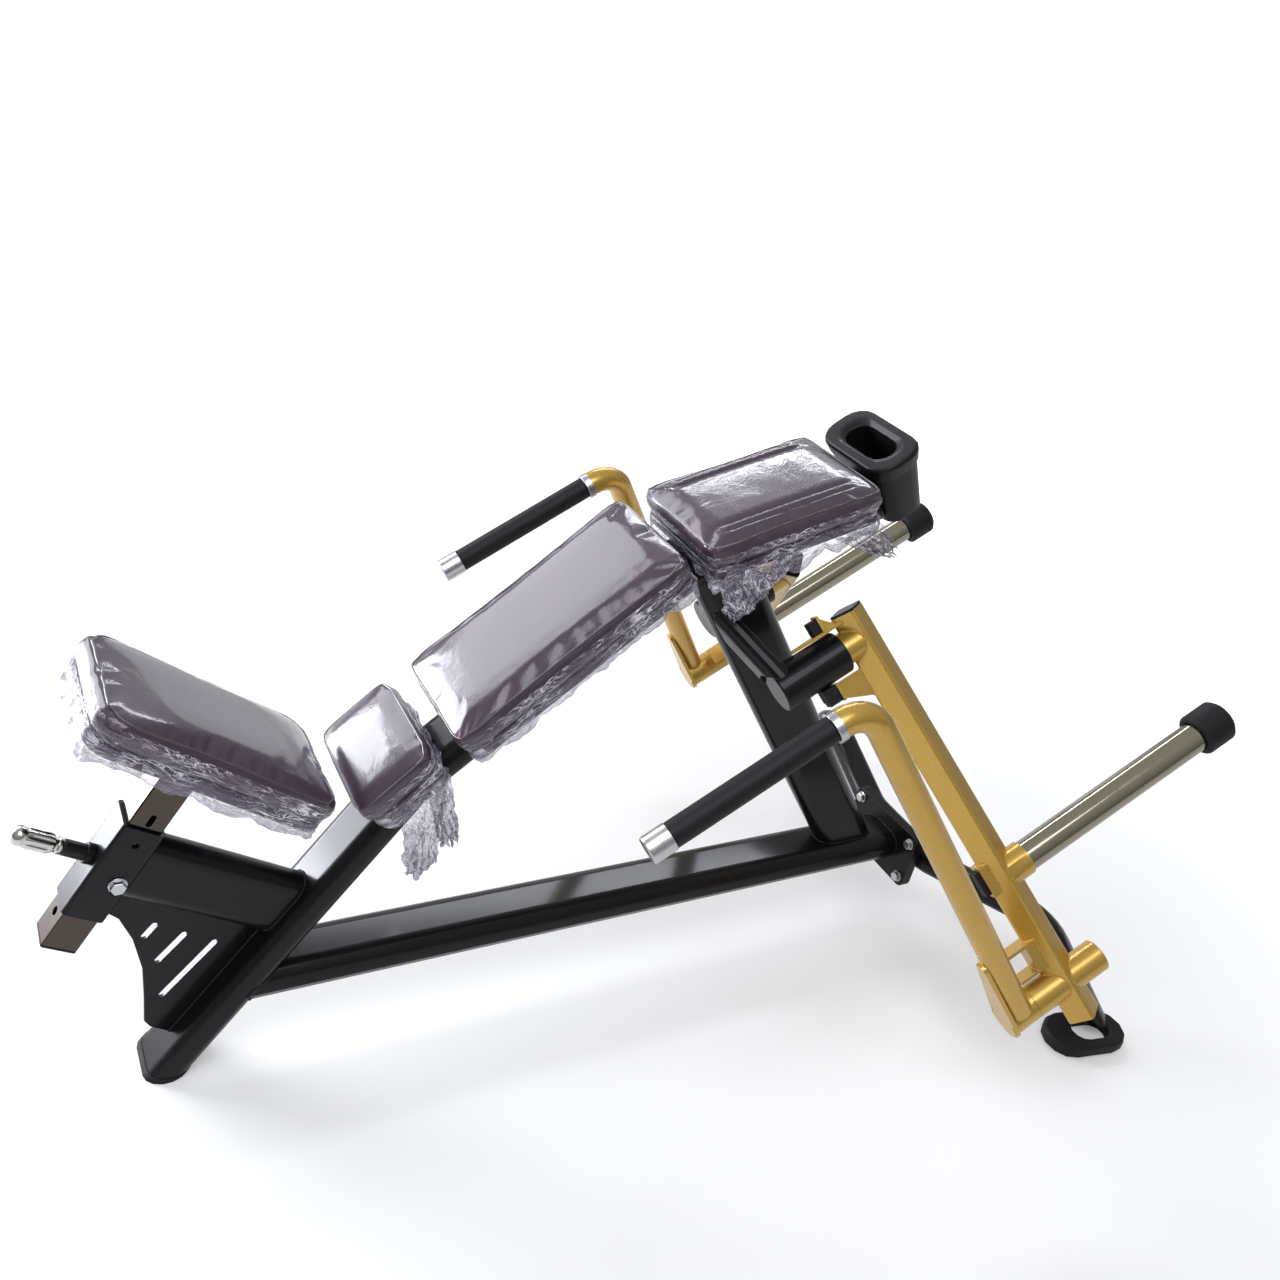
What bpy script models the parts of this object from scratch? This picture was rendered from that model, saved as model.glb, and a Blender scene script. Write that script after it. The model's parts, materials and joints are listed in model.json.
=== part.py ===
"""Plate-loaded incline fly bench.

Metres, Z up. X runs from the foot end to the head end and Y = 0 is the mirror plane.
The left side of a person lying on the bench is at -Y.
"""
import bpy
import bmesh
from math import asin, atan2, cos, pi, radians, sin, sqrt, tan
from mathutils import Matrix, Vector
from mathutils.geometry import tessellate_polygon

# Clearances
gap = 0.0003                  # between faces that touch
run_gap = 0.0004              # between a shaft and its bore
stop_gap = 0.0005             # between a stop and what rests on it
weld_sink = 0.002             # a welded piece into the one it joins

# Frame tube, a flat oval
tube_wide = 0.105
tube_thin = 0.050
small_wide = 0.068            # shoulder tubes
small_thin = 0.036
small_sink = 0.006            # shoulder tube into the upright before it is coped

# Frame lines in the mirror plane
leg_slope = radians(54.3)
leg_floor_x = 0.0045
shoe_thick = 0.008
rail_thin = 0.058             # base rail, a little deeper than the other tubes
rail_top_z = 0.180
upright_slope = radians(53.35)
upright_base_x = 1.278
upright_base_z = 0.177
flange_x = 1.398
flange_thick = 0.010
flange_wide = 0.190
flange_high = 0.118
flange_bolt_y = 0.078
flange_bolt_z = 0.041
flange_drop = 0.002           # plate's middle below the rail's middle
flange_round = 0.012
bolt_radius = 0.005
bolt_flats = 0.017
bolt_head = 0.0075
washer_thick = 0.002
washer_radius = 0.0115
bolt_spare = 0.006            # thread past a nut
beam_wide = 0.062             # rear beam, flat oval, lying flat
beam_thin = 0.045
beam_straight = 0.090         # half of its straight middle
beam_hip = (1.497, -0.345, 0.203)
beam_land = (1.622, -0.468)
beam_bend_radius = 0.120
beam_hip_radius = 0.090
foot_long = 0.170
foot_wide = 0.092
foot_high = 0.026
foot_bore_long = 0.078
foot_bore_wide = 0.046
foot_bore_shift = 0.012       # towards the head end
foot_spot = (1.568, -0.471)
foot_turn = radians(-10.3)
foot_rim = 0.006
leg_shoe_grow = 0.0015

# Pads: edge height of a cushion over its board
pad_high = 0.048
board_thick = 0.012
pad_round = 0.016
back_slope = radians(41.1)
back_low = (0.364, 0.6115)    # x, z of the lower top edge
back_long = 0.409
back_wide = 0.216
head_slope = radians(17.4)
head_low = (0.712, 0.894)
head_long = 0.298
head_wide = 0.216
lumbar_slope = radians(44.0)
lumbar_low = (0.236, 0.505)
lumbar_long = 0.128
lumbar_wide = 0.196
board_inset = 0.008
wedge_low = 0.018
wedge_high = 0.086
wedge_wide = 0.050

# Seat and its post
post_slope = radians(59.5)
sleeve_mid = (-0.062, 0.405)
sleeve_long = 0.155
sleeve_out = 0.060
sleeve_wall = 0.0045
sleeve_corner = 0.007
peep_radius = 0.005
peep_up = 0.053               # peep hole above the sleeve's middle
sleeve_bolt_shift = 0.012
post_out = 0.050
post_wall = 0.004
hole_radius = 0.0065
hole_pitch = 0.025
plug_thick = 0.004
post_corner = 0.004
post_below = 0.058            # post showing under the sleeve
post_slot = (0.020, 0.008)    # slot in the near wall, just above the sleeve
post_slot_up = 0.015
arm_below = 0.016             # seat arm under the sleeve's top
seat_tilt = radians(-33.5)
seat_front = (-0.073, 0.7185)  # x, z of the front top edge
seat_long = 0.352
seat_wide = 0.212
seat_high = 0.046
seat_round = 0.034
seat_plate = (0.150, 0.100, 0.006)
pin_along = 0.004             # pull pin above the sleeve's middle
pin_radius = 0.0055
pin_barrel_radius = 0.0115
pin_barrel_long = 0.040
pin_flange_grow = 0.003
pin_flange_long = 0.010
knob_radius = 0.0150
knob_long = 0.066
gusset_thick = 0.006
gusset_slot = 0.0095
plate_corner = 0.010
gusset_low_spot = (-0.013, 0.075)  # x, z of the lowest corner
gusset_edge_spots = ((-0.054, 0.302), (-0.036, 0.258), (-0.023, 0.196), (-0.021, 0.134), (-0.021, 0.089))
gusset_slots = ((-0.021, 0.259, -0.007, 0.277), (-0.003, 0.207, 0.033, 0.249), (0.003, 0.136, 0.076, 0.222))

# Lever and handle, set out along the tilted hinge axis:
# "along" the axis, "out" to the side and "up" square to both
axis_slope = radians(32.0)
pivot_out = 0.1143
pivot_up = 0.0617
shoulder_root = (1.088, 0.165)  # along, up, in the mirror plane
shoulder_in = 0.0165          # shoulder tube past the housing's inner end
lever_off = 0.041             # lever's middle past the housing
lever_side = 0.045            # square tube, one corner outwards
lever_wall = 0.003
lever_corner = 0.006
lever_lean = radians(38.7)
lever_over = 0.0496           # lever past the pivot at its top end
lever_under = 0.7264          # lever below the pivot
housing_radius = 0.036
housing_start = 1.099
housing_long = 0.125
housing_wall = 0.006          # closed inner end of the housing
housing_edge = 0.002
shaft_radius = 0.018
shaft_collar = 0.027
hub_at = 0.6574               # lower hub below the pivot
hub_radius = 0.0275
hub_sleeve = 0.030            # handle's hub past its tube
hub_past = 0.073              # lever's hub past the lever
hub_pin_radius = 0.012
hub_pin_long = 0.046
handle_radius = 0.0215
handle_bend_radius = 0.049
handle_inward = 0.099         # handle tube's foot inside the lever
handle_lean = 0.047           # from the tube's foot in to its bend
tube_foot_out = 0.0047        # tube's foot off the hub's axis
tube_foot_up = 0.0334
tear_big = 0.031              # teardrop plate at the handle's hub
tear_small = 0.012
tear_long = 0.150
tear_thick = 0.007
core_radius = 0.013
grip_out = 0.379
grip_up = 0.241
grip_gap = 0.061              # from the bend's corner to the grip
grip_long = 0.256
grip_radius = 0.0190
grip_cap_long = 0.036
collar_long = 0.012
tube_past = 0.012             # handle tube past the hub's axis
tab_thick = 0.005
tab_reach = 0.041             # U bracket's tabs stand off the lever by this much
bracket_low = 0.040           # above the lower hub
bracket_high = 0.092
bracket_wide = 0.034
buffer_up = 0.212             # buffer above the lower hub
buffer_long = 0.044
buffer_wide = 0.020
buffer_thick = 0.009
buffer_plate_wide = 0.030
buffer_plate_thick = 0.005
bumper_clear = 0.002          # brackets round the housing
bumper_end = 0.066            # rubber's far end from the pivot
bumper_wide = 0.022
lower_rubber_in = (0.064, 0.040)  # ends, inside the housing's outer end
upper_rubber_in = (0.0285, 0.013)
upper_foot_in = 0.0715        # tip of the upper bracket's foot
web_thick = 0.005
web_down = 0.097              # lower web on the lever
stop_arm_thick = 0.006
stop_arm_end = 0.060
plug_inset = 0.0005
horn_at = 0.4504
horn_radius = 0.0262
horn_sleeve = 0.020           # horn inside its end cap, past the cap's middle
horn_collar = 0.0295
horn_collar_long = 0.018      # past the lever's corner
horn_long = 0.4484            # from the lever to the middle of the end cap
horn_cap_radius = 0.037
horn_cap_long = 0.060
horn_cap_end = 0.008
horn_cap_foot = 0.004

# Moulded holder at the head end: mouth, waist and foot are (wide, high)
holder_face = (1.037, 1.016)
holder_slope = radians(-55.2)  # into the pocket
holder_mouth = (0.168, 0.094)
holder_waist = (0.152, 0.082)
holder_foot = (0.126, 0.068)
holder_rim = 0.026            # depth of the rim
holder_deep = 0.130
holder_edge = 0.006
holder_corner = 0.036
holder_pocket = (0.100, 0.048)
holder_pocket_deep = 0.100

COLOURS = {
    "frame_black": (0.012, 0.012, 0.015),
    "satin_black": (0.020, 0.020, 0.022),
    "gold": (0.52, 0.34, 0.09),
    "chrome": (0.62, 0.61, 0.58),
    "steel": (0.55, 0.55, 0.56),
    "grip_rubber": (0.015, 0.014, 0.018),
    "black_rubber": (0.010, 0.010, 0.011),
    "leather": (0.055, 0.035, 0.052),
    "board": (0.030, 0.028, 0.030),
}


def material(name):
    found = bpy.data.materials.get(name)
    if found:
        return found
    made = bpy.data.materials.new(name)
    made.use_nodes = True
    shader = made.node_tree.nodes["Principled BSDF"]
    shader.inputs["Base Color"].default_value = (*COLOURS[name], 1.0)
    shader.inputs["Metallic"].default_value = 1.0 if name in ("chrome", "steel") else 0.0
    return made


# Geometry is kept as (points, faces) until it becomes an object.
def merge(*parts):
    points, faces = [], []
    for part_points, part_faces in parts:
        base = len(points)
        points += part_points
        faces += [[base + i for i in face] for face in part_faces]
    return points, faces


def mirrored(geo):
    points, faces = geo
    return [Vector((p.x, -p.y, p.z)) for p in points], [list(reversed(f)) for f in faces]


def put(name, geo, colour, sharp=32):
    mesh = bpy.data.meshes.new(name)
    mesh.from_pydata([tuple(p) for p in geo[0]], [], geo[1])
    shell = bmesh.new()
    shell.from_mesh(mesh)
    bmesh.ops.recalc_face_normals(shell, faces=shell.faces[:])
    shell.to_mesh(mesh)
    shell.free()
    mesh.shade_smooth()
    mesh.set_sharp_from_angle(angle=radians(sharp))
    mesh.materials.append(material(colour))
    item = bpy.data.objects.new(name, mesh)
    bpy.context.scene.collection.objects.link(item)
    return item


def put_pair(name, geo, colour, sharp=32):
    return put(name + "_left", geo, colour, sharp), put(name + "_right", mirrored(geo), colour, sharp)


def cutter(name, geo):
    item = put(name, geo, "board")
    item.hide_render = True
    item.display_type = "WIRE"
    return item


def cut(item, tools):
    for tool in tools:
        step = item.modifiers.new("cope_" + tool.name, "BOOLEAN")
        step.operation = "DIFFERENCE"
        step.solver = "EXACT"
        step.object = tool


def weld(item, geo):
    tool = cutter(item.name + "_weld_" + str(len(item.modifiers)), geo)
    step = item.modifiers.new("weld", "BOOLEAN")
    step.operation = "UNION"
    step.solver = "EXACT"
    step.object = tool


def weld_pair(pair, geo):
    weld(pair[0], geo)
    weld(pair[1], mirrored(geo))


def round_edges(item, width, steps=2, angle=40):
    bevel = item.modifiers.new("edges", "BEVEL")
    bevel.width = width
    bevel.segments = steps
    bevel.limit_method = "ANGLE"
    bevel.angle_limit = radians(angle)


# Sections, as (side, thin) pairs round the outline
def circle(radius, steps=32):
    return [(radius * cos(2 * pi * i / steps), radius * sin(2 * pi * i / steps)) for i in range(steps)]


def oval(wide, thin, steps=7, grow=0.0):
    radius = thin / 2 + grow
    reach = (wide - thin) / 2
    ring = []
    for centre, start in ((reach, -pi / 2), (-reach, pi / 2)):
        for i in range(steps + 1):
            turn = start + pi * i / steps
            ring.append((centre + radius * cos(turn), radius * sin(turn)))
    return ring


def soft_rect(wide, high, radius, steps=3):
    ring = []
    corners = ((1, -1, -pi / 2), (1, 1, 0), (-1, 1, pi / 2), (-1, -1, pi))
    for sx, sy, start in corners:
        cx, cy = sx * (wide / 2 - radius), sy * (high / 2 - radius)
        for i in range(steps + 1):
            turn = start + pi / 2 * i / steps
            ring.append((cx + radius * cos(turn), cy + radius * sin(turn)))
    return ring


def frame_axes(direction, side):
    along = direction.normalized()
    across = (side - along * side.dot(along)).normalized()
    return along, across, along.cross(across)


def tube_between(ring, start, end, side, start_cut=None, end_cut=None, bore=None):
    """Straight prism from start to end; a cut is the normal of the plane through that end."""
    along, across, thin = frame_axes(end - start, side)

    def loop(outline, point, normal):
        out = []
        for u, v in outline:
            base = point + across * u + thin * v
            if normal is not None:
                base = base + along * ((point - base).dot(normal) / along.dot(normal))
            out.append(base)
        return out

    count = len(ring)
    points = loop(ring, start, start_cut) + loop(ring, end, end_cut)
    faces = [[i, (i + 1) % count, count + (i + 1) % count, count + i] for i in range(count)]
    if bore is None:
        faces += [list(range(count - 1, -1, -1)), list(range(count, 2 * count))]
        return points, faces
    points += loop(bore, start, start_cut) + loop(bore, end, end_cut)
    low, high = 2 * count, 3 * count
    faces += [[low + i, high + i, high + (i + 1) % count, low + (i + 1) % count] for i in range(count)]
    for a, b, turn in ((0, low, True), (count, high, False)):
        for i in range(count):
            quad = [a + i, b + i, b + (i + 1) % count, a + (i + 1) % count]
            faces.append(quad if turn else quad[::-1])
    return points, faces


def sweep(ring, path, side):
    """Bent tube through the path's points, its section kept square to the path."""
    count = len(ring)
    points, faces = [], []
    across = side
    for k, point in enumerate(path):
        before = path[max(k - 1, 0)]
        after = path[min(k + 1, len(path) - 1)]
        along, across, thin = frame_axes(after - before, across)
        points += [point + across * u + thin * v for u, v in ring]
    for k in range(len(path) - 1):
        a, b = k * count, (k + 1) * count
        faces += [[a + i, a + (i + 1) % count, b + (i + 1) % count, b + i] for i in range(count)]
    last = (len(path) - 1) * count
    faces += [list(range(count - 1, -1, -1)), list(range(last, last + count))]
    return points, faces


def bend(corner, before, after, radius, steps=9):
    """Points of the arc that rounds off a corner between two straight runs."""
    into = (corner - before).normalized()
    away = (after - corner).normalized()
    turn = into.angle(away)
    reach = radius * tan(turn / 2)
    start = corner - into * reach
    normal = (away - into * away.dot(into)).normalized()
    centre = start + normal * radius
    return [centre - normal * radius * cos(turn * i / steps) + into * radius * sin(turn * i / steps)
            for i in range(steps + 1)]


def turned(profile, start, direction, steps=32):
    """Solid of revolution from (distance, radius[, six-sided]) rows; radius 0 closes an end."""
    along, across, thin = frame_axes(direction, Vector((0, 1, 0)) if abs(direction.y) < 0.9 else Vector((1, 0, 0)))
    points, faces, rows = [], [], []
    for row in profile:
        distance, radius = row[0], row[1]
        centre = start + along * distance
        if radius == 0:
            rows.append([len(points)])
            points.append(centre)
            continue
        rows.append([len(points) + i for i in range(steps)])
        for i in range(steps):
            turn = 2 * pi * i / steps
            reach = radius
            if len(row) > 2 and row[2]:
                reach = radius * cos(pi / 6) / cos(turn % (pi / 3) - pi / 6)
            points.append(centre + across * reach * cos(turn) + thin * reach * sin(turn))
    closed = profile[0][1] > 0
    for k in range(len(rows) if closed else len(rows) - 1):
        a, b = rows[k], rows[(k + 1) % len(rows)]
        for i in range(steps):
            j = (i + 1) % steps
            if len(a) == 1:
                faces.append([a[0], b[j], b[i]])
            elif len(b) == 1:
                faces.append([a[i], a[j], b[0]])
            else:
                faces.append([a[i], a[j], b[j], b[i]])
    return points, faces


def plate(outline, origin, u, v, thick, holes=()):
    """Flat plate with open holes, centred on the plane through origin."""
    normal = u.cross(v).normalized()
    loops = [outline] + list(holes)
    flat = [[Vector((x, y, 0)) for x, y in loop] for loop in loops]
    cells = tessellate_polygon(flat)
    spots = [origin + u * x + v * y for loop in loops for x, y in loop]
    count = len(spots)
    points = [p - normal * thick / 2 for p in spots] + [p + normal * thick / 2 for p in spots]
    faces = [list(cell) for cell in cells] + [[count + i for i in reversed(cell)] for cell in cells]
    base = 0
    for loop in loops:
        n = len(loop)
        faces += [[base + i, base + (i + 1) % n, count + base + (i + 1) % n, count + base + i] for i in range(n)]
        base += n
    return points, faces


def slot(x, y, long, wide, turn=0.0, steps=6):
    ring = []
    reach = (long - wide) / 2
    for sign, start in ((1, -pi / 2), (-1, pi / 2)):
        for i in range(steps + 1):
            a = start + pi * i / steps
            px, py = sign * reach + wide / 2 * cos(a), wide / 2 * sin(a)
            ring.append((x + px * cos(turn) - py * sin(turn), y + px * sin(turn) + py * cos(turn)))
    return ring


def block(centre, u, v, w, size):
    points = [centre + u * (sx * size[0] / 2) + v * (sy * size[1] / 2) + w * (sz * size[2] / 2)
              for sx in (-1, 1) for sy in (-1, 1) for sz in (-1, 1)]
    faces = [[0, 1, 3, 2], [4, 6, 7, 5], [0, 4, 5, 1], [2, 3, 7, 6], [0, 2, 6, 4], [1, 5, 7, 3]]
    return points, faces


def clip(geo, point, normal):
    """Keep what lies behind a plane and close the cut."""
    shell = bmesh.new()
    corners = [shell.verts.new(p) for p in geo[0]]
    for face in geo[1]:
        shell.faces.new([corners[i] for i in face])
    whole = shell.verts[:] + shell.edges[:] + shell.faces[:]
    found = bmesh.ops.bisect_plane(shell, geom=whole, plane_co=point, plane_no=normal, clear_outer=True)
    rim = [e for e in found["geom_cut"] if isinstance(e, bmesh.types.BMEdge)]
    bmesh.ops.edgeloop_fill(shell, edges=rim)
    shell.verts.index_update()
    result = [v.co.copy() for v in shell.verts], [[v.index for v in f.verts] for f in shell.faces]
    shell.free()
    return result


def bolt_through(face, axis, grip):
    """Hex head and washer on one face, washer, nut and thread end on the other, in one body."""
    corner = bolt_flats / sqrt(3)
    seat = -washer_thick - gap
    back = grip + gap
    end = back + washer_thick + bolt_head
    rows = [(seat - bolt_head, 0, 0), (seat - bolt_head, corner * 0.86, 1), (seat - bolt_head * 0.8, corner, 1),
            (seat, corner, 1), (seat, washer_radius, 0), (-gap, washer_radius, 0), (-gap, bolt_radius, 0),
            (back, bolt_radius, 0), (back, washer_radius, 0), (back + washer_thick, washer_radius, 0),
            (back + washer_thick, corner, 1), (end, corner, 1), (end, bolt_radius, 0),
            (end + bolt_spare, bolt_radius, 0), (end + bolt_spare, 0, 0)]
    return turned(rows, face, axis, 12)


def bolt_head_on(face, axis, scale=1.0):
    """Hex head and washer standing on a face."""
    corner = bolt_flats / sqrt(3) * scale
    top = washer_thick + bolt_head * scale
    rows = [(gap, 0, 0), (gap, washer_radius * scale, 0), (washer_thick, washer_radius * scale, 0),
            (washer_thick, corner, 1), (top - 0.001, corner, 1), (top, corner * 0.9, 1), (top, 0, 0)]
    return turned(rows, face, axis, 12)


# Clear the scene
for old in list(bpy.data.objects):
    bpy.data.objects.remove(old)

Y = Vector((0, 1, 0))
Z = Vector((0, 0, 1))
X = Vector((1, 0, 0))


def in_plane(x, z, y=0.0):
    return Vector((x, y, z))


def heading(slope):
    return Vector((cos(slope), 0, sin(slope)))


def upward(slope):
    return Vector((-sin(slope), 0, cos(slope)))


def crossing(point, direction, other, other_direction):
    """Where two lines of the mirror plane meet."""
    det = direction.x * other_direction.z - direction.z * other_direction.x
    shift = other - point
    t = (shift.x * other_direction.z - shift.z * other_direction.x) / det
    return point + direction * t


# Pad planes. Each is the underside of its board, taken from the cushion's lower top edge.
stack = pad_high + board_thick


def underside(low, slope):
    return in_plane(*low) - upward(slope) * stack


back_foot = underside(back_low, back_slope)
head_foot = underside(head_low, head_slope)
lumbar_foot = underside(lumbar_low, lumbar_slope)

# Centre lines of the frame tubes
leg_dir = heading(leg_slope)
leg_line = in_plane(leg_floor_x, 0)
bench_dir = heading(back_slope)
bench_line = back_foot - upward(back_slope) * (tube_thin / 2 + gap)
head_dir = heading(head_slope)
head_line = head_foot - upward(head_slope) * (tube_thin / 2 + gap)
upright_dir = heading(pi - upright_slope)
upright_foot = in_plane(upright_base_x, upright_base_z)
knee = crossing(leg_line, leg_dir, bench_line, bench_dir)
neck = crossing(bench_line, bench_dir, head_line, head_dir)

frame_ring = oval(tube_wide, tube_thin)
frame_grown = oval(tube_wide, tube_thin, grow=gap)
small_ring = oval(small_wide, small_thin)


def mitre(first, second):
    return (first.normalized() + second.normalized()).normalized()


# Front leg, from its rubber shoe up to the knee under the lower back
leg_start = leg_line + leg_dir * ((shoe_thick + gap) / sin(leg_slope))
knee_cut = mitre(leg_dir, bench_dir)
front_leg = put("front_leg", tube_between(frame_ring, leg_start, knee - leg_dir * gap / 2, Y, Z, knee_cut),
                "frame_black")

shoe_top = leg_line + leg_dir * (shoe_thick / sin(leg_slope))
shoe_ring = oval(tube_wide, tube_thin, grow=leg_shoe_grow)
shoe_geo = tube_between(shoe_ring, leg_line, shoe_top, Y, Z, Z)
put("leg_shoe", shoe_geo, "black_rubber")

# Bench rail under the back pad, and the head rail that goes on from it at a lower slope
neck_cut = mitre(bench_dir, head_dir)
bench_rail = put("bench_rail", tube_between(frame_ring, knee + bench_dir * gap / 2, neck - bench_dir * gap / 2, Y,
                                            knee_cut, neck_cut), "frame_black")
holder_in = heading(holder_slope)
holder_side = holder_in.cross(Y)
holder_mid = in_plane(*holder_face)
wall_high = holder_mid + holder_in * (holder_rim + holder_edge) - holder_side * holder_waist[1] / 2
wall_low = holder_mid + holder_in * (holder_deep - holder_edge) - holder_side * holder_foot[1] / 2
wall_out = (wall_low - wall_high).normalized().cross(-Y)
head_rail_geo = tube_between(frame_ring, neck + head_dir * gap / 2, neck + head_dir * (2 * head_long), Y, neck_cut)
put("head_rail", clip(head_rail_geo, wall_high + wall_out * gap, -wall_out), "frame_black")

# Base rail along the floor, from the leg to the bolted joint
rail_z = rail_top_z - rail_thin / 2
rail_ring = oval(tube_wide, rail_thin)
rail_start = crossing(leg_line, leg_dir, in_plane(0, rail_z), X)
rail_end_x = flange_x - flange_thick - gap
base_rail = put("base_rail", tube_between(rail_ring, rail_start, in_plane(rail_end_x, rail_z), Y,
                                          upward(leg_slope)), "frame_black")
leg_cope = cutter("leg_cope", tube_between(frame_grown, leg_line, knee, Y))
cut(base_rail, [leg_cope])

# Upright, wide way in the mirror plane, from the base rail up to the neck
upright_low = crossing(upright_foot, upright_dir, in_plane(0, rail_z), X)
upright_high = crossing(upright_foot, upright_dir, head_line, head_dir) + upright_dir * tube_thin
upright_side = upright_dir.cross(Y)
upright_geo = tube_between(frame_ring, upright_low, upright_high, upright_side)
under_pads = tube_thin / 2 + gap
upright_geo = clip(upright_geo, in_plane(0, rail_top_z + gap), -Z)
upright_geo = clip(upright_geo, bench_line - upward(back_slope) * under_pads, upward(back_slope))
upright_geo = clip(upright_geo, head_line - upward(head_slope) * under_pads, upward(head_slope))
put("upright", upright_geo, "frame_black")

# Bolted joint behind the upright: one plate on the base rail, one on the rear frame
flange_outline = soft_rect(flange_wide, flange_high, flange_round, 3)
flange_spots = [(sy * flange_bolt_y, sz * flange_bolt_z) for sy in (-1, 1) for sz in (-1, 1)]
flange_holes = [[(y + p, z + q) for p, q in circle(bolt_radius + run_gap, 12)] for y, z in flange_spots]
flange_z = rail_z - flange_drop
rail_flange_mid = in_plane(flange_x - flange_thick / 2, flange_z)
rear_flange_mid = in_plane(flange_x + flange_thick / 2 + gap, flange_z)
put("rail_flange", plate(flange_outline, rail_flange_mid, Y, Z, flange_thick, flange_holes), "frame_black")
put("rear_flange", plate(flange_outline, rear_flange_mid, Y, Z, flange_thick, flange_holes), "frame_black")
flange_grip = 2 * flange_thick + gap
for number, (y, z) in enumerate(flange_spots, 1):
    bolt_face = Vector((flange_x - flange_thick, y, flange_z + z))
    put("flange_bolt_%d" % number, bolt_through(bolt_face, X, flange_grip), "steel")

# Rear beam: one tube across the flange's back, swept back and bent down to the feet
beam_mid_x = flange_x + flange_thick + 2 * gap + beam_wide / 2
beam_mid = Vector((beam_mid_x, 0, flange_z))
beam_corner = Vector((beam_mid_x, -beam_straight, flange_z))
beam_bend = Vector(beam_hip)
beam_end = Vector((*beam_land, 0))
beam_half = bend(beam_corner, beam_mid, beam_bend, beam_bend_radius, 4)
beam_half += bend(beam_bend, beam_corner, beam_end, beam_hip_radius, 6) + [beam_end]
beam_path = beam_half[::-1] + [Vector((p.x, -p.y, p.z)) for p in beam_half]
beam_side = (beam_half[-1] - beam_half[-2]).cross(Z)
beam_geo = sweep(oval(beam_wide, beam_thin, 6), beam_path, beam_side)
put("rear_beam", clip(beam_geo, in_plane(0, foot_high + gap), -Z), "frame_black")


def ring_plate(centre, long, wide, bore_long, bore_wide, bore_shift, high, rim, turn):
    """Flat loop with a rounded rim, lying on z = 0 and turned about z."""
    levels = [(0, 0.0), (rim * 0.3, -rim * 0.7), (rim, -rim), (high - rim, -rim), (high - rim * 0.3, -rim * 0.7),
              (high, 0.0)]
    outer = [slot(0, 0, long - 2 * rim - 2 * inset, wide - 2 * rim - 2 * inset, turn, 6) for _, inset in levels]
    bore_x, bore_y = bore_shift * cos(turn), bore_shift * sin(turn)
    inner = [slot(bore_x, bore_y, bore_long + 2 * rim + 2 * inset, bore_wide + 2 * rim + 2 * inset, turn, 6)
             for _, inset in levels]
    count = len(outer[0])
    rows = [(ring, level[0]) for ring, level in zip(outer, levels)]
    rows += [(ring, level[0]) for ring, level in zip(inner[::-1], levels[::-1])]
    points = [centre + Vector((x, y, z)) for ring, z in rows for x, y in ring]
    faces = []
    for k in range(len(rows)):
        a, b = k * count, ((k + 1) % len(rows)) * count
        faces += [[a + i, a + (i + 1) % count, b + (i + 1) % count, b + i] for i in range(count)]
    return points, faces


foot_centre = Vector((*foot_spot, 0))
foot_geo = ring_plate(foot_centre, foot_long, foot_wide, foot_bore_long, foot_bore_wide, foot_bore_shift, foot_high,
                      foot_rim, foot_turn)
put_pair("foot_loop", foot_geo, "black_rubber")

# Pads on their boards
def cushion(long, wide, high, corner, crown, channels=(), steps_long=22, steps_wide=14, tuck=0.010,
            front_taper=0.0, end_drop=0.0):
    """Closed cushion standing on z = 0, its length along x from 0. Channels are sewn lines along x."""
    lines = sorted(set([-1 + 2 * i / steps_wide for i in range(steps_wide + 1)]
                       + [c + d for c in channels for d in (-0.035, 0.0, 0.035)]))
    cols = [-1 + 2 * i / steps_long for i in range(steps_long + 1)]
    hx, hy = long / 2, wide / 2

    def spot(u, v, inset):
        width_here = 1 - front_taper * max(0.0, -u) ** 2
        x, y = u * hx, v * hy
        ax, ay = abs(x) - (hx - corner), abs(y) - (hy - corner)
        if ax > 0 and ay > 0:
            dx, dy = ax / corner, ay / corner
            rx, ry = dx * sqrt(1 - dy * dy / 2), dy * sqrt(1 - dx * dx / 2)
            reach = corner - inset
            x = (hx - corner + rx * reach) * (1 if x > 0 else -1)
            y = (hy - corner + ry * reach) * (1 if y > 0 else -1)
        else:
            x -= inset * max(0.0, ax / corner) * (1 if x > 0 else -1)
            y -= inset * max(0.0, ay / corner) * (1 if y > 0 else -1)
        return x + hx, y * width_here

    def top(u, v):
        swell = crown * (1 - u ** 4) * (1 - v ** 4)
        edge = max(abs(u), abs(v))
        roll = 0.003 * max(0.0, (edge - 0.90) / 0.10) ** 2
        groove = sum(0.004 for c in channels if abs(v - c) < 0.01) if abs(u) < 0.96 else 0.0
        drop = end_drop * max(0.0, (abs(u) - 0.55) / 0.45) ** 2
        return high + swell - roll - groove - drop

    points = [Vector((*spot(u, v, 0.0), top(u, v))) for u in cols for v in lines]
    rows, across = len(cols), len(lines)
    faces = [[i * across + j, (i + 1) * across + j, (i + 1) * across + j + 1, i * across + j + 1]
             for i in range(rows - 1) for j in range(across - 1)]
    rim = [(i, 0) for i in range(rows - 1)] + [(rows - 1, j) for j in range(across - 1)]
    rim += [(i, across - 1) for i in range(rows - 1, 0, -1)] + [(0, j) for j in range(across - 1, 0, -1)]
    last = [i * across + j for i, j in rim]
    for height, inset in ((0.86, -0.003), (0.55, -0.0045), (0.25, 0.0), (0.0, tuck)):
        ring = []
        for i, j in rim:
            x, y = spot(cols[i], lines[j], inset)
            ring.append(len(points))
            points.append(Vector((x, y, top(cols[i], lines[j]) * height)))
        n = len(ring)
        faces += [[last[k], ring[k], ring[(k + 1) % n], last[(k + 1) % n]] for k in range(n)]
        last = ring
    faces.append(last[::-1])
    return points, faces


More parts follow.
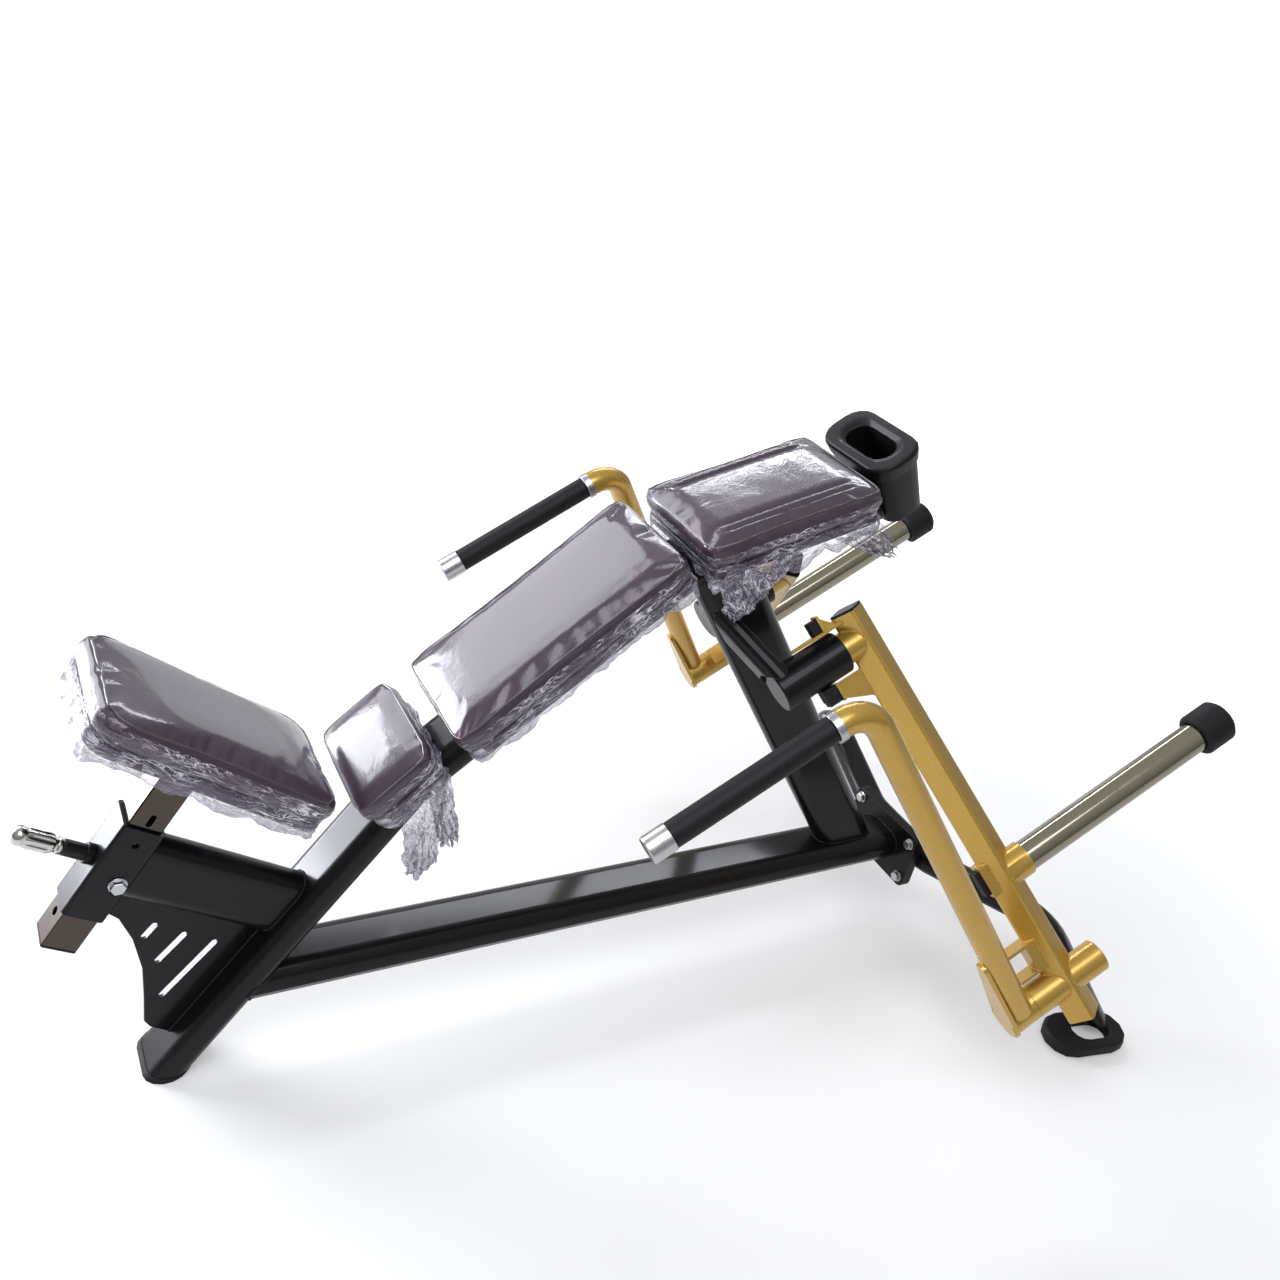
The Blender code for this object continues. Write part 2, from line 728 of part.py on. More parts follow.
def placed(geo, origin, slope):
    along, up = heading(slope), upward(slope)
    return [origin + along * p.x + Y * p.y + up * p.z for p in geo[0]], geo[1]


def board(long, wide, foot, slope):
    reach, side = long - 2 * board_inset, wide - 2 * board_inset
    outline = soft_rect(reach, side, pad_round - board_inset, 3)
    middle = foot + heading(slope) * (long / 2) + upward(slope) * (board_thick / 2)
    return plate(outline, middle, heading(slope), Y, board_thick)


pads = (
    ("back", back_foot, back_slope, back_long, back_wide, ()),
    ("head", head_foot, head_slope, head_long, head_wide, (-0.70, -0.60, 0.60, 0.70)),
    ("lumbar", lumbar_foot, lumbar_slope, lumbar_long, lumbar_wide, ()),
)
for name, foot, slope, long, wide, channels in pads:
    round_edges(put(name + "_board", board(long, wide, foot, slope), "board"), 0.0015)
    shape = cushion(long, wide, pad_high - gap, pad_round, 0.007, channels,
                    steps_long=max(6, int(long / 0.034)), steps_wide=8)
    put(name + "_pad", placed(shape, foot + upward(slope) * (board_thick + gap), slope), "leather", 50)

# Wedge that carries the small lower pad over the knee
leg_face = leg_line + upward(leg_slope) * (tube_thin / 2 + gap)
low_top = lumbar_foot + heading(lumbar_slope) * wedge_low - upward(lumbar_slope) * gap
high_top = lumbar_foot + heading(lumbar_slope) * wedge_high - upward(lumbar_slope) * gap
low_base = crossing(low_top, upward(lumbar_slope), leg_face, leg_dir)
high_base = crossing(high_top, upward(lumbar_slope), leg_face, leg_dir)
wedge_side = [low_base, high_base, high_top, low_top]
wedge_points = [p + Y * s * wedge_wide / 2 for s in (-1, 1) for p in wedge_side]
wedge_faces = [[0, 1, 2, 3], [7, 6, 5, 4]] + [[i, i + 4, (i + 1) % 4 + 4, (i + 1) % 4] for i in range(4)]
round_edges(put("lumbar_wedge", (wedge_points, wedge_faces), "frame_black"), 0.002)

# Seat arm, wide way in the mirror plane, from the sleeve to the leg
post_dir = heading(post_slope)
arm_dir = heading(post_slope - pi / 2)
sleeve_centre = in_plane(*sleeve_mid)
arm_line = sleeve_centre + post_dir * (sleeve_long / 2 - tube_wide / 2 - arm_below)
arm_start = arm_line + arm_dir * (sleeve_out / 2 + gap)
arm_geo = tube_between(frame_ring, arm_start, crossing(arm_start, arm_dir, leg_line, leg_dir), post_dir)
leg_front = leg_line + upward(leg_slope) * (tube_thin / 2 + gap)
put("seat_arm", clip(arm_geo, leg_front, -upward(leg_slope)), "frame_black")

# Square sleeve that holds the seat post
sleeve_ring = soft_rect(sleeve_out, sleeve_out, sleeve_corner, 3)
sleeve_bore = soft_rect(sleeve_out - 2 * sleeve_wall, sleeve_out - 2 * sleeve_wall,
                         sleeve_corner - sleeve_wall / 2, 3)
sleeve_low = sleeve_centre - post_dir * sleeve_long / 2
sleeve_top = sleeve_centre + post_dir * sleeve_long / 2
sleeve = put("seat_sleeve", tube_between(sleeve_ring, sleeve_low, sleeve_top, Y, bore=sleeve_bore), "frame_black")
pin_spot = sleeve_centre + post_dir * pin_along
pin_dir = -arm_dir
pin_hole = cutter("pin_hole", turned([(0, 0), (0, pin_radius + run_gap), (sleeve_out, pin_radius + run_gap),
                                      (sleeve_out, 0)], pin_spot, pin_dir, 16))
peep_hole = cutter("peep_hole", turned([(0, 0), (0, peep_radius), (sleeve_out, peep_radius), (sleeve_out, 0)],
                                       sleeve_centre + post_dir * peep_up, -Y, 12))
cut(sleeve, [pin_hole, peep_hole])
bolt_spot = sleeve_centre + (arm_dir - post_dir) * sleeve_bolt_shift
put("sleeve_bolt", bolt_head_on(bolt_spot - Y * sleeve_out / 2, -Y, 1.1), "steel")

# Slotted gusset between sleeve, arm and leg
sleeve_rear = sleeve_centre + arm_dir * (sleeve_out / 2 + gap)
arm_under = arm_line - post_dir * (tube_wide / 2 + gap)
gusset_low = in_plane(*gusset_low_spot)
gusset_edge = [in_plane(x, z) for x, z in gusset_edge_spots]
gusset = [sleeve_low + arm_dir * (sleeve_out / 2 + gap)] + gusset_edge
gusset += [gusset_low, crossing(gusset_low, upward(leg_slope), leg_front, leg_dir)]
gusset += [crossing(arm_under, arm_dir, leg_front, leg_dir), crossing(arm_under, arm_dir, sleeve_rear, post_dir)]
slots = []
for x0, z0, x1, z1 in gusset_slots:
    slots.append(slot((x0 + x1) / 2, (z0 + z1) / 2, sqrt((x1 - x0) ** 2 + (z1 - z0) ** 2) + gusset_slot, gusset_slot,
                      atan2(z1 - z0, x1 - x0)))
put("sleeve_gusset", plate([(p.x, p.z) for p in gusset], Vector((0, 0, 0)), X, Z, gusset_thick, slots),
    "frame_black")

# Pull pin: black barrel on the sleeve, plunger and fluted knob that slide in it
barrel_foot = pin_spot + pin_dir * (sleeve_out / 2)
bore = pin_radius + run_gap
pin_flange = pin_barrel_radius + pin_flange_grow
put("pin_barrel", turned([(gap, bore), (gap, pin_flange), (pin_flange_long, pin_flange),
                          (pin_flange_long, pin_barrel_radius), (pin_barrel_long, pin_barrel_radius),
                          (pin_barrel_long, bore)], barrel_foot, pin_dir, 20), "satin_black")
pin_nose = sleeve_out / 2 - post_out / 2 - stop_gap
plunger_end = pin_barrel_long + stop_gap + pin_radius
plunger_geo = turned([(-pin_nose, 0), (-pin_nose, pin_radius), (plunger_end, pin_radius), (plunger_end, 0)],
                     barrel_foot, pin_dir, 16)


def fluted(start, direction, radius, long, count):
    """Knob with shallow flutes along it and a plain collar at its foot."""
    along, across, thin = frame_axes(direction, Y)
    steps = count * 4
    rows = ((0, 0.80, 0), (0.004, 0.86, 0), (long * 0.26, 0.86, 0), (long * 0.30, 1.0, 0.10), (long * 0.94, 1.0, 0.10),
            (long, 0.88, 0.04))
    points, faces = [], []
    for distance, grow, depth in rows:
        for i in range(steps):
            turn = 2 * pi * i / steps
            reach = radius * grow * (1 - depth * (0.5 + 0.5 * cos(turn * count)))
            points.append(start + along * distance + across * reach * cos(turn) + thin * reach * sin(turn))
    for k in range(len(rows) - 1):
        a, b = k * steps, (k + 1) * steps
        faces += [[a + i, a + (i + 1) % steps, b + (i + 1) % steps, b + i] for i in range(steps)]
    last = (len(rows) - 1) * steps
    faces += [list(range(steps - 1, -1, -1)), list(range(last, last + steps))]
    return points, faces


knob_foot = barrel_foot + pin_dir * (pin_barrel_long + stop_gap)
pull_pin = put("pull_pin", fluted(knob_foot, pin_dir, knob_radius, knob_long, 8), "chrome")
weld(pull_pin, plunger_geo)

# Seat: hollow post with a plug, bracket plate, board and cushion
seat_along = heading(seat_tilt)
seat_up = upward(seat_tilt)
seat_foot = in_plane(*seat_front) - seat_up * (seat_high + board_thick)
plate_long, plate_wide, plate_thick = seat_plate
plate_top = seat_foot - seat_up * gap
plate_low = plate_top - seat_up * plate_thick
post_low = sleeve_low - post_dir * post_below
post_high = crossing(post_low, post_dir, plate_low - seat_up * gap, seat_along)
post_ring = soft_rect(post_out, post_out, post_corner, 3)
post_bore = soft_rect(post_out - 2 * post_wall, post_out - 2 * post_wall, post_corner / 2, 3)
seat_post = put("seat_post", tube_between(post_ring, post_low, post_high, Y, None, seat_up, post_bore), "steel")
post_holes = [turned([(0, 0), (0, hole_radius), (post_out, hole_radius), (post_out, 0)],
                     pin_spot + post_dir * hole_pitch * k, pin_dir, 12) for k in range(-4, 3)]
slot_geo = plate(slot(0, 0, *post_slot), sleeve_top + post_dir * post_slot_up - Y * post_out / 2, post_dir, arm_dir,
                 2 * post_wall + run_gap)
cut(seat_post, [cutter("post_holes", merge(*post_holes)), cutter("post_slot", slot_geo)])
put("post_plug", tube_between(post_ring, post_low - post_dir * (gap + plug_thick), post_low - post_dir * gap, Y),
    "black_rubber")
post_meet = crossing(post_low, post_dir, plate_top, seat_along)
plate_mid = post_meet - seat_up * plate_thick / 2
put("seat_bracket", plate(soft_rect(plate_long, plate_wide, plate_corner, 3), plate_mid, seat_along, Y, plate_thick),
    "frame_black")
seat_board_mid = seat_foot + seat_along * seat_long / 2 + seat_up * board_thick / 2
put("seat_board", plate(soft_rect(seat_long - 2 * board_inset, seat_wide - 2 * board_inset,
                                  seat_round - board_inset, 4), seat_board_mid, seat_along, Y, board_thick), "board")
seat_shape = cushion(seat_long, seat_wide, seat_high - gap, seat_round, 0.008, (), 14, 10, end_drop=0.004)
put("seat_pad", placed(seat_shape, seat_foot + seat_up * (board_thick + gap), seat_tilt), "leather", 50)

# Everything from here on is set out along the tilted hinge axis, left side first
hinge_dir = heading(axis_slope)
hinge_up = upward(axis_slope)


def arm_point(along, out, up):
    return hinge_dir * along + hinge_up * up - Y * out


def across_hinge(out, up):
    return hinge_up * up - Y * out


# Places along the hinge axis, each from the piece before it
housing_end = housing_start + housing_long
shoulder_along = housing_start + shoulder_in
lever_along = housing_end + lever_off
handle_foot_along = lever_along - handle_inward
handle_bend_along = handle_foot_along - handle_lean
hub_split = handle_foot_along + hub_sleeve
hub_end = lever_along + hub_past
grip_end = handle_bend_along - grip_gap
grip_start = grip_end - grip_long
lower_rubber = [housing_end - d for d in lower_rubber_in]
upper_rubber = [housing_end - d for d in upper_rubber_in]
upper_foot = housing_end - upper_foot_in
horn_cap_along = lever_along + horn_long

lever_down = across_hinge(sin(lever_lean), -cos(lever_lean))
lever_out = across_hinge(cos(lever_lean), sin(lever_lean))
half = lever_side / sqrt(2) - lever_corner * (sqrt(2) - 1)
inner_face = lever_along - half
outer_face = lever_along + half
sunk_face = lever_along - half * 0.4


def on_lever(along, down, out=0.0):
    return arm_point(along, pivot_out, pivot_up) + lever_down * down + lever_out * out


# Shoulder tube from the upright to the pivot housing
shoulder_end = arm_point(shoulder_along, pivot_out, pivot_up)
shoulder_start = arm_point(shoulder_root[0], 0, shoulder_root[1])
shoulder_side = hinge_dir.cross(shoulder_end - shoulder_start)
shaft_bore = shaft_radius + run_gap
housing_geo = turned([(housing_wall, 0), (housing_wall, shaft_bore), (housing_long, shaft_bore),
                      (housing_long, housing_radius - housing_edge), (housing_long - housing_edge, housing_radius),
                      (housing_edge, housing_radius), (0, housing_radius - housing_edge), (0, 0)],
                     on_lever(housing_start, 0), hinge_dir, 28)
housings = put_pair("pivot_housing", housing_geo, "frame_black")
shoulder_from = shoulder_start.lerp(shoulder_end, (tube_thin / 2 - small_sink) / pivot_out)
shoulder_geo = tube_between(small_ring, shoulder_from, shoulder_end, shoulder_side, Y)
housing_grown = turned([(-tube_wide, 0), (-tube_wide, housing_radius + gap), (2 * tube_wide, housing_radius + gap),
                        (2 * tube_wide, 0)], on_lever(housing_start, 0), hinge_dir, 28)
upright_cope = cutter("upright_cope", tube_between(frame_grown, upright_low, upright_high, upright_side))
shoulder_pair = put_pair("shoulder_tube", shoulder_geo, "frame_black")
for tube, side, geo in zip(shoulder_pair, ("left", "right"), (housing_grown, mirrored(housing_grown))):
    cut(tube, [upright_cope, cutter("housing_cope_" + side, geo)])

# Lever: square tube on edge, with shaft and collar, hub bosses and brackets
lever_ring = soft_rect(lever_side, lever_side, lever_corner, 3)
lever_bore = soft_rect(lever_side - 2 * lever_wall, lever_side - 2 * lever_wall, lever_corner - lever_wall, 3)
lever_face = hinge_dir + lever_out
lever_geo = tube_between(lever_ring, on_lever(lever_along, -lever_over), on_lever(lever_along, lever_under),
                         lever_face, bore=lever_bore)
plug_side = lever_side - 2 * plug_inset
plug_ring = soft_rect(plug_side, plug_side, lever_corner, 3)
put_pair("lever_plug", tube_between(plug_ring, on_lever(lever_along, -lever_over - gap - plug_thick),
                                    on_lever(lever_along, -lever_over - gap), lever_face), "satin_black")
end_side = lever_side - lever_wall
lever_end_cap = tube_between(soft_rect(end_side, end_side, lever_corner, 3), on_lever(lever_along, hub_at),
                             on_lever(lever_along, lever_under - gap), lever_face)
shaft_from = housing_start + housing_wall + stop_gap
shaft_long = lever_along - shaft_from
collar_at = housing_end + stop_gap - shaft_from
shaft_geo = turned([(0, 0), (0, shaft_radius), (collar_at, shaft_radius), (collar_at, shaft_collar),
                    (shaft_long, shaft_collar), (shaft_long, 0)], on_lever(shaft_from, 0), hinge_dir, 24)
boss_from = hub_split + stop_gap
hub_geo = turned([(boss_from - hub_pin_long, 0), (boss_from - hub_pin_long, hub_pin_radius),
                  (boss_from, hub_pin_radius), (boss_from, hub_radius), (hub_end - housing_edge, hub_radius),
                  (hub_end, hub_radius - housing_edge), (hub_end, 0)], on_lever(0, hub_at), hinge_dir, 24)

# U bracket over the lower hub, its two tabs standing off the lever
tab_face = inner_face - tab_reach
bracket_web = inner_face - tab_thick
u_profile = [(sunk_face, bracket_low), (tab_face, bracket_low), (tab_face, bracket_low + tab_thick),
             (bracket_web, bracket_low + tab_thick), (bracket_web, bracket_high - tab_thick),
             (tab_face, bracket_high - tab_thick), (tab_face, bracket_high), (sunk_face, bracket_high)]
bracket_geo = plate([(a, hub_at - d) for a, d in u_profile], on_lever(0, 0), hinge_dir, lever_down, bracket_wide)

# Backing plate of the buffer
plate_from = inner_face - buffer_plate_thick
buffer_plate = block(on_lever((plate_from + sunk_face) / 2, hub_at - buffer_up), hinge_dir, lever_out, lever_down,
                     (sunk_face - plate_from, buffer_plate_wide, buffer_long + 2 * tab_thick))

# Bumper brackets below and above the housing, each a flange on a web
bumper_start = housing_radius + bumper_clear
lower_flange = lower_rubber[1] + gap
upper_flange = upper_rubber[1] + gap
flange_end = bumper_end + bumper_clear
web_start = bumper_start + weld_sink
lower_web = plate([(lower_flange + weld_sink, web_start), (sunk_face, web_start), (sunk_face, web_down),
                   (lower_flange + weld_sink, flange_end - weld_sink)], on_lever(0, 0), hinge_dir, lever_down,
                  web_thick)
web_top = weld_sink - lever_over
upper_web = plate([(upper_flange + weld_sink, -web_start), (sunk_face, -web_start), (sunk_face, web_top),
                   (inner_face - bumper_clear, web_top), (upper_flange + tab_thick, weld_sink - flange_end),
                   (upper_flange + weld_sink, weld_sink - flange_end)], on_lever(0, 0), hinge_dir, lever_down,
                  web_thick)
bumper_mid = (bumper_start + flange_end) / 2
flange_size = (tab_thick, bumper_wide + 2 * bumper_clear, flange_end - bumper_start)
lower_plate = block(on_lever(lower_flange + tab_thick / 2, bumper_mid), hinge_dir, lever_out, lever_down, flange_size)
upper_plate = block(on_lever(upper_flange + tab_thick / 2, -bumper_mid - weld_sink), hinge_dir, lever_out,
                    lever_down, flange_size)
foot_half = bumper_wide / 2 + bumper_clear
upper_foot_geo = plate([(upper_foot, -tab_thick / 2), (upper_flange, -foot_half), (sunk_face, -foot_half),
                        (sunk_face, foot_half), (upper_flange, foot_half), (upper_foot, tab_thick / 2)],
                       on_lever(0, -bumper_start - tab_thick / 2), hinge_dir, lever_out, tab_thick)

# Plate horn on the lever's outer corner: collar, tube and end cap
horn_root = on_lever(outer_face, horn_at)
horn_end = on_lever(horn_cap_along, horn_at)
horn_dir = hinge_dir
horn_start = horn_root + hinge_dir * gap
horn_stop = horn_end + horn_dir * horn_sleeve
put_pair("plate_horn", tube_between(circle(horn_radius, 28), horn_start, horn_stop, Y), "chrome")
collar_bore = horn_radius + gap
collar_geo = turned([(0, 0), (0, horn_collar), (half + horn_collar_long, horn_collar),
                     (half + horn_collar_long, collar_bore), (half, collar_bore), (half, 0)],
                    on_lever(lever_along, horn_at), horn_dir, 28)
levers = put_pair("lever_arm", lever_geo, "gold")
for added in (lever_end_cap, shaft_geo, hub_geo, bracket_geo, buffer_plate, lower_web, lower_plate,
              upper_web, upper_plate, upper_foot_geo, collar_geo):
    weld_pair(levers, added)
cap_depth = horn_cap_long - horn_cap_end
cap_back = horn_stop + horn_dir * (gap - cap_depth)
horn_hole = horn_radius + gap
put_pair("horn_cap", turned([(cap_depth, 0), (cap_depth, horn_hole), (0, horn_hole), (0, horn_cap_radius - horn_cap_foot),
                             (horn_cap_foot, horn_cap_radius), (cap_depth, horn_cap_radius),
                             (horn_cap_long, horn_cap_radius - horn_cap_end), (horn_cap_long, 0)], cap_back,
                            horn_dir, 28), "black_rubber")

# Handle: hub sleeve, bent tube, gusset plate, collar with core, grip
hub_out = pivot_out + hub_at * sin(lever_lean)
hub_up = pivot_up - hub_at * cos(lever_lean)
bend_corner = arm_point(handle_bend_along, grip_out, grip_up)
tube_foot = arm_point(handle_foot_along, hub_out + tube_foot_out, hub_up + tube_foot_up)
tube_dir = (tube_foot - bend_corner).normalized()
tube_start = arm_point(grip_end + collar_long + gap, grip_out, grip_up)
tube_low = tube_foot + tube_dir * tube_past
tube_path = [tube_start] + bend(bend_corner, tube_start, tube_foot, handle_bend_radius, 7) + [tube_low]
tube_pair = put_pair("handle_tube", sweep(circle(handle_radius, 20), tube_path, Y), "gold")
plate_normal = (hinge_dir - tube_dir * tube_dir.dot(hinge_dir)).normalized()
plate_across = plate_normal.cross(tube_dir)
hub_centre = arm_point(handle_foot_along, hub_out, hub_up)
plate_shift = handle_radius - weld_sink + tear_thick / 2
plate_foot = tube_foot - plate_normal * plate_shift
plate_hub = hub_centre - hinge_dir * ((hub_centre - plate_foot).dot(plate_normal) / hinge_dir.dot(plate_normal))
tear_lean = ((tube_foot - tube_dir * tear_long) - plate_hub).dot(plate_across)
tear_turn = atan2(tear_lean, tear_long)
tear_side = asin((tear_big - tear_small) / tear_long)
tear = []
for i in range(13):
    turn = tear_turn + pi / 2 - tear_side + (pi + 2 * tear_side) * i / 12
    tear.append((tear_big * cos(turn), tear_big * sin(turn)))
for i in range(6):
    turn = tear_turn - pi / 2 + tear_side + (pi - 2 * tear_side) * i / 5
    tear.append((tear_long * cos(tear_turn) + tear_small * cos(turn), tear_long * sin(tear_turn)
                 + tear_small * sin(turn)))
tear_geo = plate(tear, plate_hub, -tube_dir, plate_across, tear_thick)
sleeve_start = handle_foot_along - handle_radius - tear_thick / 2
hub_long = hub_split - sleeve_start
sleeve_foot = arm_point(sleeve_start, hub_out, hub_up)
hub_solid = turned([(0, 0), (0, hub_radius), (hub_long, hub_radius), (hub_long, 0)], sleeve_foot, hinge_dir, 24)
hub_bore = hub_pin_radius + run_gap
bore_from = hub_long - hub_pin_long
bore_geo = turned([(bore_from, 0), (bore_from, hub_bore), (2 * hub_long, hub_bore), (2 * hub_long, 0)], sleeve_foot,
                  hinge_dir, 24)
weld_pair(tube_pair, hub_solid)
weld_pair(tube_pair, tear_geo)
for tube, side, geo in zip(tube_pair, ("left", "right"), (bore_geo, mirrored(bore_geo))):
    cut(tube, [cutter("hub_bore_" + side, geo)])
grip_axis = arm_point(grip_start, grip_out, grip_up)
put_pair("grip_bar", turned([(-grip_cap_long, 0), (-grip_cap_long, grip_radius), (-grip_cap_long + 0.0015,
                              grip_radius + 0.0015), (0, grip_radius + 0.0015), (0, core_radius),
                              (grip_long, core_radius), (grip_long, handle_radius + 0.0015),
                              (grip_long + collar_long, handle_radius + 0.0015), (grip_long + collar_long, 0)],
                             grip_axis, hinge_dir, 24), "steel")
put_pair("grip", turned([(gap, core_radius + gap), (gap, grip_radius), (grip_long - gap, grip_radius),
                         (grip_long - gap, core_radius + gap)], grip_axis, hinge_dir, 24), "grip_rubber")

# Rubber strip on the buffer plate; the handle tube rests against it
strip_face = inner_face - buffer_plate_thick - gap
strip_mid = strip_face - buffer_thick / 2
put_pair("swing_buffer", block(on_lever(strip_mid, hub_at - buffer_up), hinge_dir, lever_out, lever_down,
                               (buffer_thick, buffer_wide, buffer_long)), "black_rubber")

# Rubber bumpers on the brackets, and the arm under each housing that the lower one comes back to
rubber_top = bumper_start + tab_thick + gap
for name, (start, end), near, far in (("lower_bumper", lower_rubber, bumper_start, bumper_end),
                                      ("upper_bumper", upper_rubber, -rubber_top, -bumper_end)):
    put_pair(name, block(on_lever((start + end) / 2, (near + far) / 2), hinge_dir, lever_out, lever_down,
                         (end - start, bumper_wide, abs(far - near))), "black_rubber")
arm_mid = -(bumper_wide / 2 + stop_gap + stop_arm_thick / 2)
arm_start = housing_radius - housing_wall
weld_pair(housings, block(on_lever(sum(lower_rubber) / 2, (arm_start + stop_arm_end) / 2, arm_mid), hinge_dir,
                          lever_out, lever_down,
                          (lower_rubber[1] - lower_rubber[0], stop_arm_thick, stop_arm_end - arm_start)))

# Moulded holder at the head end, an open oval pocket with a raised rim
def nested(rows, centre, inward, u, v, steps=6):
    """Closed body through rounded rectangles given as (depth, wide, high, corner)."""
    points, faces = [], []
    for depth, wide, high, corner in rows:
        points += [centre + inward * depth + u * x + v * y for x, y in soft_rect(wide, high, corner, steps)]
    count = 4 * (steps + 1)
    for k in range(len(rows) - 1):
        a, b = k * count, (k + 1) * count
        faces += [[a + i, a + (i + 1) % count, b + (i + 1) % count, b + i] for i in range(count)]
    last = (len(rows) - 1) * count
    faces += [list(range(count - 1, -1, -1)), list(range(last, last + count))]
    return points, faces


mouth_wide, mouth_high = holder_mouth
waist_wide, waist_high = holder_waist
foot_end_wide, foot_end_high = holder_foot
pocket_wide, pocket_high = holder_pocket
edge = holder_edge
base_deep = holder_deep - edge
holder_rows = [
    (holder_deep, foot_end_wide - 2 * edge, foot_end_high - 2 * edge, holder_corner / 2),
    (base_deep, foot_end_wide, foot_end_high, holder_corner / 2 + edge),
    (holder_rim + edge, waist_wide, waist_high, holder_corner - edge),
    (holder_rim, waist_wide + edge, waist_high + edge, holder_corner - edge / 2),
    (edge, mouth_wide, mouth_high, holder_corner),
    (0.0, mouth_wide - edge, mouth_high - edge, holder_corner - edge / 2),
    (0.0, pocket_wide + 5 * edge, pocket_high + 2.4 * edge, holder_corner - 1.4 * edge),
    (edge, pocket_wide, pocket_high, holder_corner - 2 * edge),
    (holder_pocket_deep, pocket_wide - edge, pocket_high - edge, holder_corner - 2.6 * edge),
]
put("head_holder", nested(holder_rows, holder_mid, holder_in, Y, holder_side, 4), "satin_black")


def hang(names, spot):
    """Put the origin of each moving piece on its joint's axis."""
    for name in names:
        item = bpy.data.objects[name]
        item.data.transform(Matrix.Translation(-spot))
        item.location = spot


hub_mid = (hub_split + inner_face) / 2
for side, flip in (("_left", 1), ("_right", -1)):
    pivot = on_lever(lever_along, 0)
    hub = on_lever(hub_mid, hub_at)
    pivot.y *= flip
    hub.y *= flip
    hang([name + side for name in ("lever_arm", "lever_plug", "plate_horn", "horn_cap", "swing_buffer",
                                   "lower_bumper", "upper_bumper")], pivot)
    hang([name + side for name in ("handle_tube", "grip_bar", "grip")], hub)
hang(["seat_post", "post_plug", "seat_bracket", "seat_board", "seat_pad"], sleeve_centre)
hang(["pull_pin"], pin_spot)
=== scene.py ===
import bmesh
import bpy
import json
import numpy as np
from math import cos, pi, radians, sin
from mathutils import Matrix, Vector, noise
from mathutils.bvhtree import BVHTree

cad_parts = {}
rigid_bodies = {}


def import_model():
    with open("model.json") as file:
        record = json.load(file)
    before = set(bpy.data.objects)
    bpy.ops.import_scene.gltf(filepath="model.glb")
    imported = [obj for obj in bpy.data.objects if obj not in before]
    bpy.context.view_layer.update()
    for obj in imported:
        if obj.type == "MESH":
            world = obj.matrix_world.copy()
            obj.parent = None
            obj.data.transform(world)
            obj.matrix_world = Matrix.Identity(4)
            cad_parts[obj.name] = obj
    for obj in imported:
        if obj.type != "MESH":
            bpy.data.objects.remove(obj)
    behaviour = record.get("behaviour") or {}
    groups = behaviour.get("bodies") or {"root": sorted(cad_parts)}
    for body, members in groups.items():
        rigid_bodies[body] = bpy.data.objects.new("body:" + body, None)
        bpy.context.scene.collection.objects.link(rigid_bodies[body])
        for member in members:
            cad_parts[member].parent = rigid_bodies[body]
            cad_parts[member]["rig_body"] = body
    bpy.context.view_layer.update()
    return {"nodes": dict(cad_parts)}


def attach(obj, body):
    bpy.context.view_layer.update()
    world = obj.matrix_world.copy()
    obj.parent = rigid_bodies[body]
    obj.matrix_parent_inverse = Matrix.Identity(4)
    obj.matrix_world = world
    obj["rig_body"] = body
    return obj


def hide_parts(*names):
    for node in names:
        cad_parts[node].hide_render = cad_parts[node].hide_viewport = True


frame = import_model()
nodes = frame["nodes"]
body_of = {name: item["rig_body"] for name, item in nodes.items()}

# Camera: a phone held at eye height beside the seat end, looking down along the bench and turned a
# little on its side. Its place, its turns and its lens were worked out from the machine's parallel
# tube edges.
view_turn, view_tip, view_roll = radians(-34.491), radians(28.672), radians(12.935)
view_place = (-0.2242, -1.3434, 1.5735)
image_side, focal_pixels, sensor_wide = 1280, 1199.04, 36.0
away = Vector((sin(view_turn) * cos(view_tip), -cos(view_turn) * cos(view_tip), sin(view_tip)))
level = Vector((cos(view_turn), sin(view_turn), 0))
top = away.cross(level)
right = level * cos(view_roll) + top * sin(view_roll)
top = top * cos(view_roll) - level * sin(view_roll)
camera = bpy.data.objects.new("camera", bpy.data.cameras.new("camera"))
camera.data.sensor_width = sensor_wide
camera.data.lens = sensor_wide * focal_pixels / image_side
camera.matrix_world = Matrix.Translation(view_place) @ Matrix((right, top, away)).transposed().to_4x4()
bpy.context.scene.collection.objects.link(camera)
bpy.context.scene.camera = camera
bpy.context.scene.view_settings.view_transform = "Standard"


def linear(hex_colour):
    """An sRGB hex colour as linear red, green, blue and alpha."""
    parts = [int(hex_colour[i:i + 2], 16) / 255 for i in (1, 3, 5)]
    return [c / 12.92 if c < 0.04045 else ((c + 0.055) / 1.055) ** 2.4 for c in parts] + [1.0]


def new_material(name):
    made = bpy.data.materials.new(name)
    made.use_nodes = True
    tree = made.node_tree
    return made, tree, tree.nodes["Principled BSDF"]


def add(tree, kind, settings=None, **links):
    """Adds a node. A link is socket=value or socket=another node's output, and _2 is the third socket."""
    node = tree.nodes.new(kind if "Node" in kind else "ShaderNode" + kind)
    for key, value in (settings or {}).items():
        setattr(node, key, value)
    for key, value in links.items():
        socket = node.inputs[int(key[1:]) if key[1:].isdigit() else key.replace("_", " ")]
        if isinstance(value, bpy.types.NodeSocket):
            tree.links.new(value, socket)
        else:
            socket.default_value = value
    return node


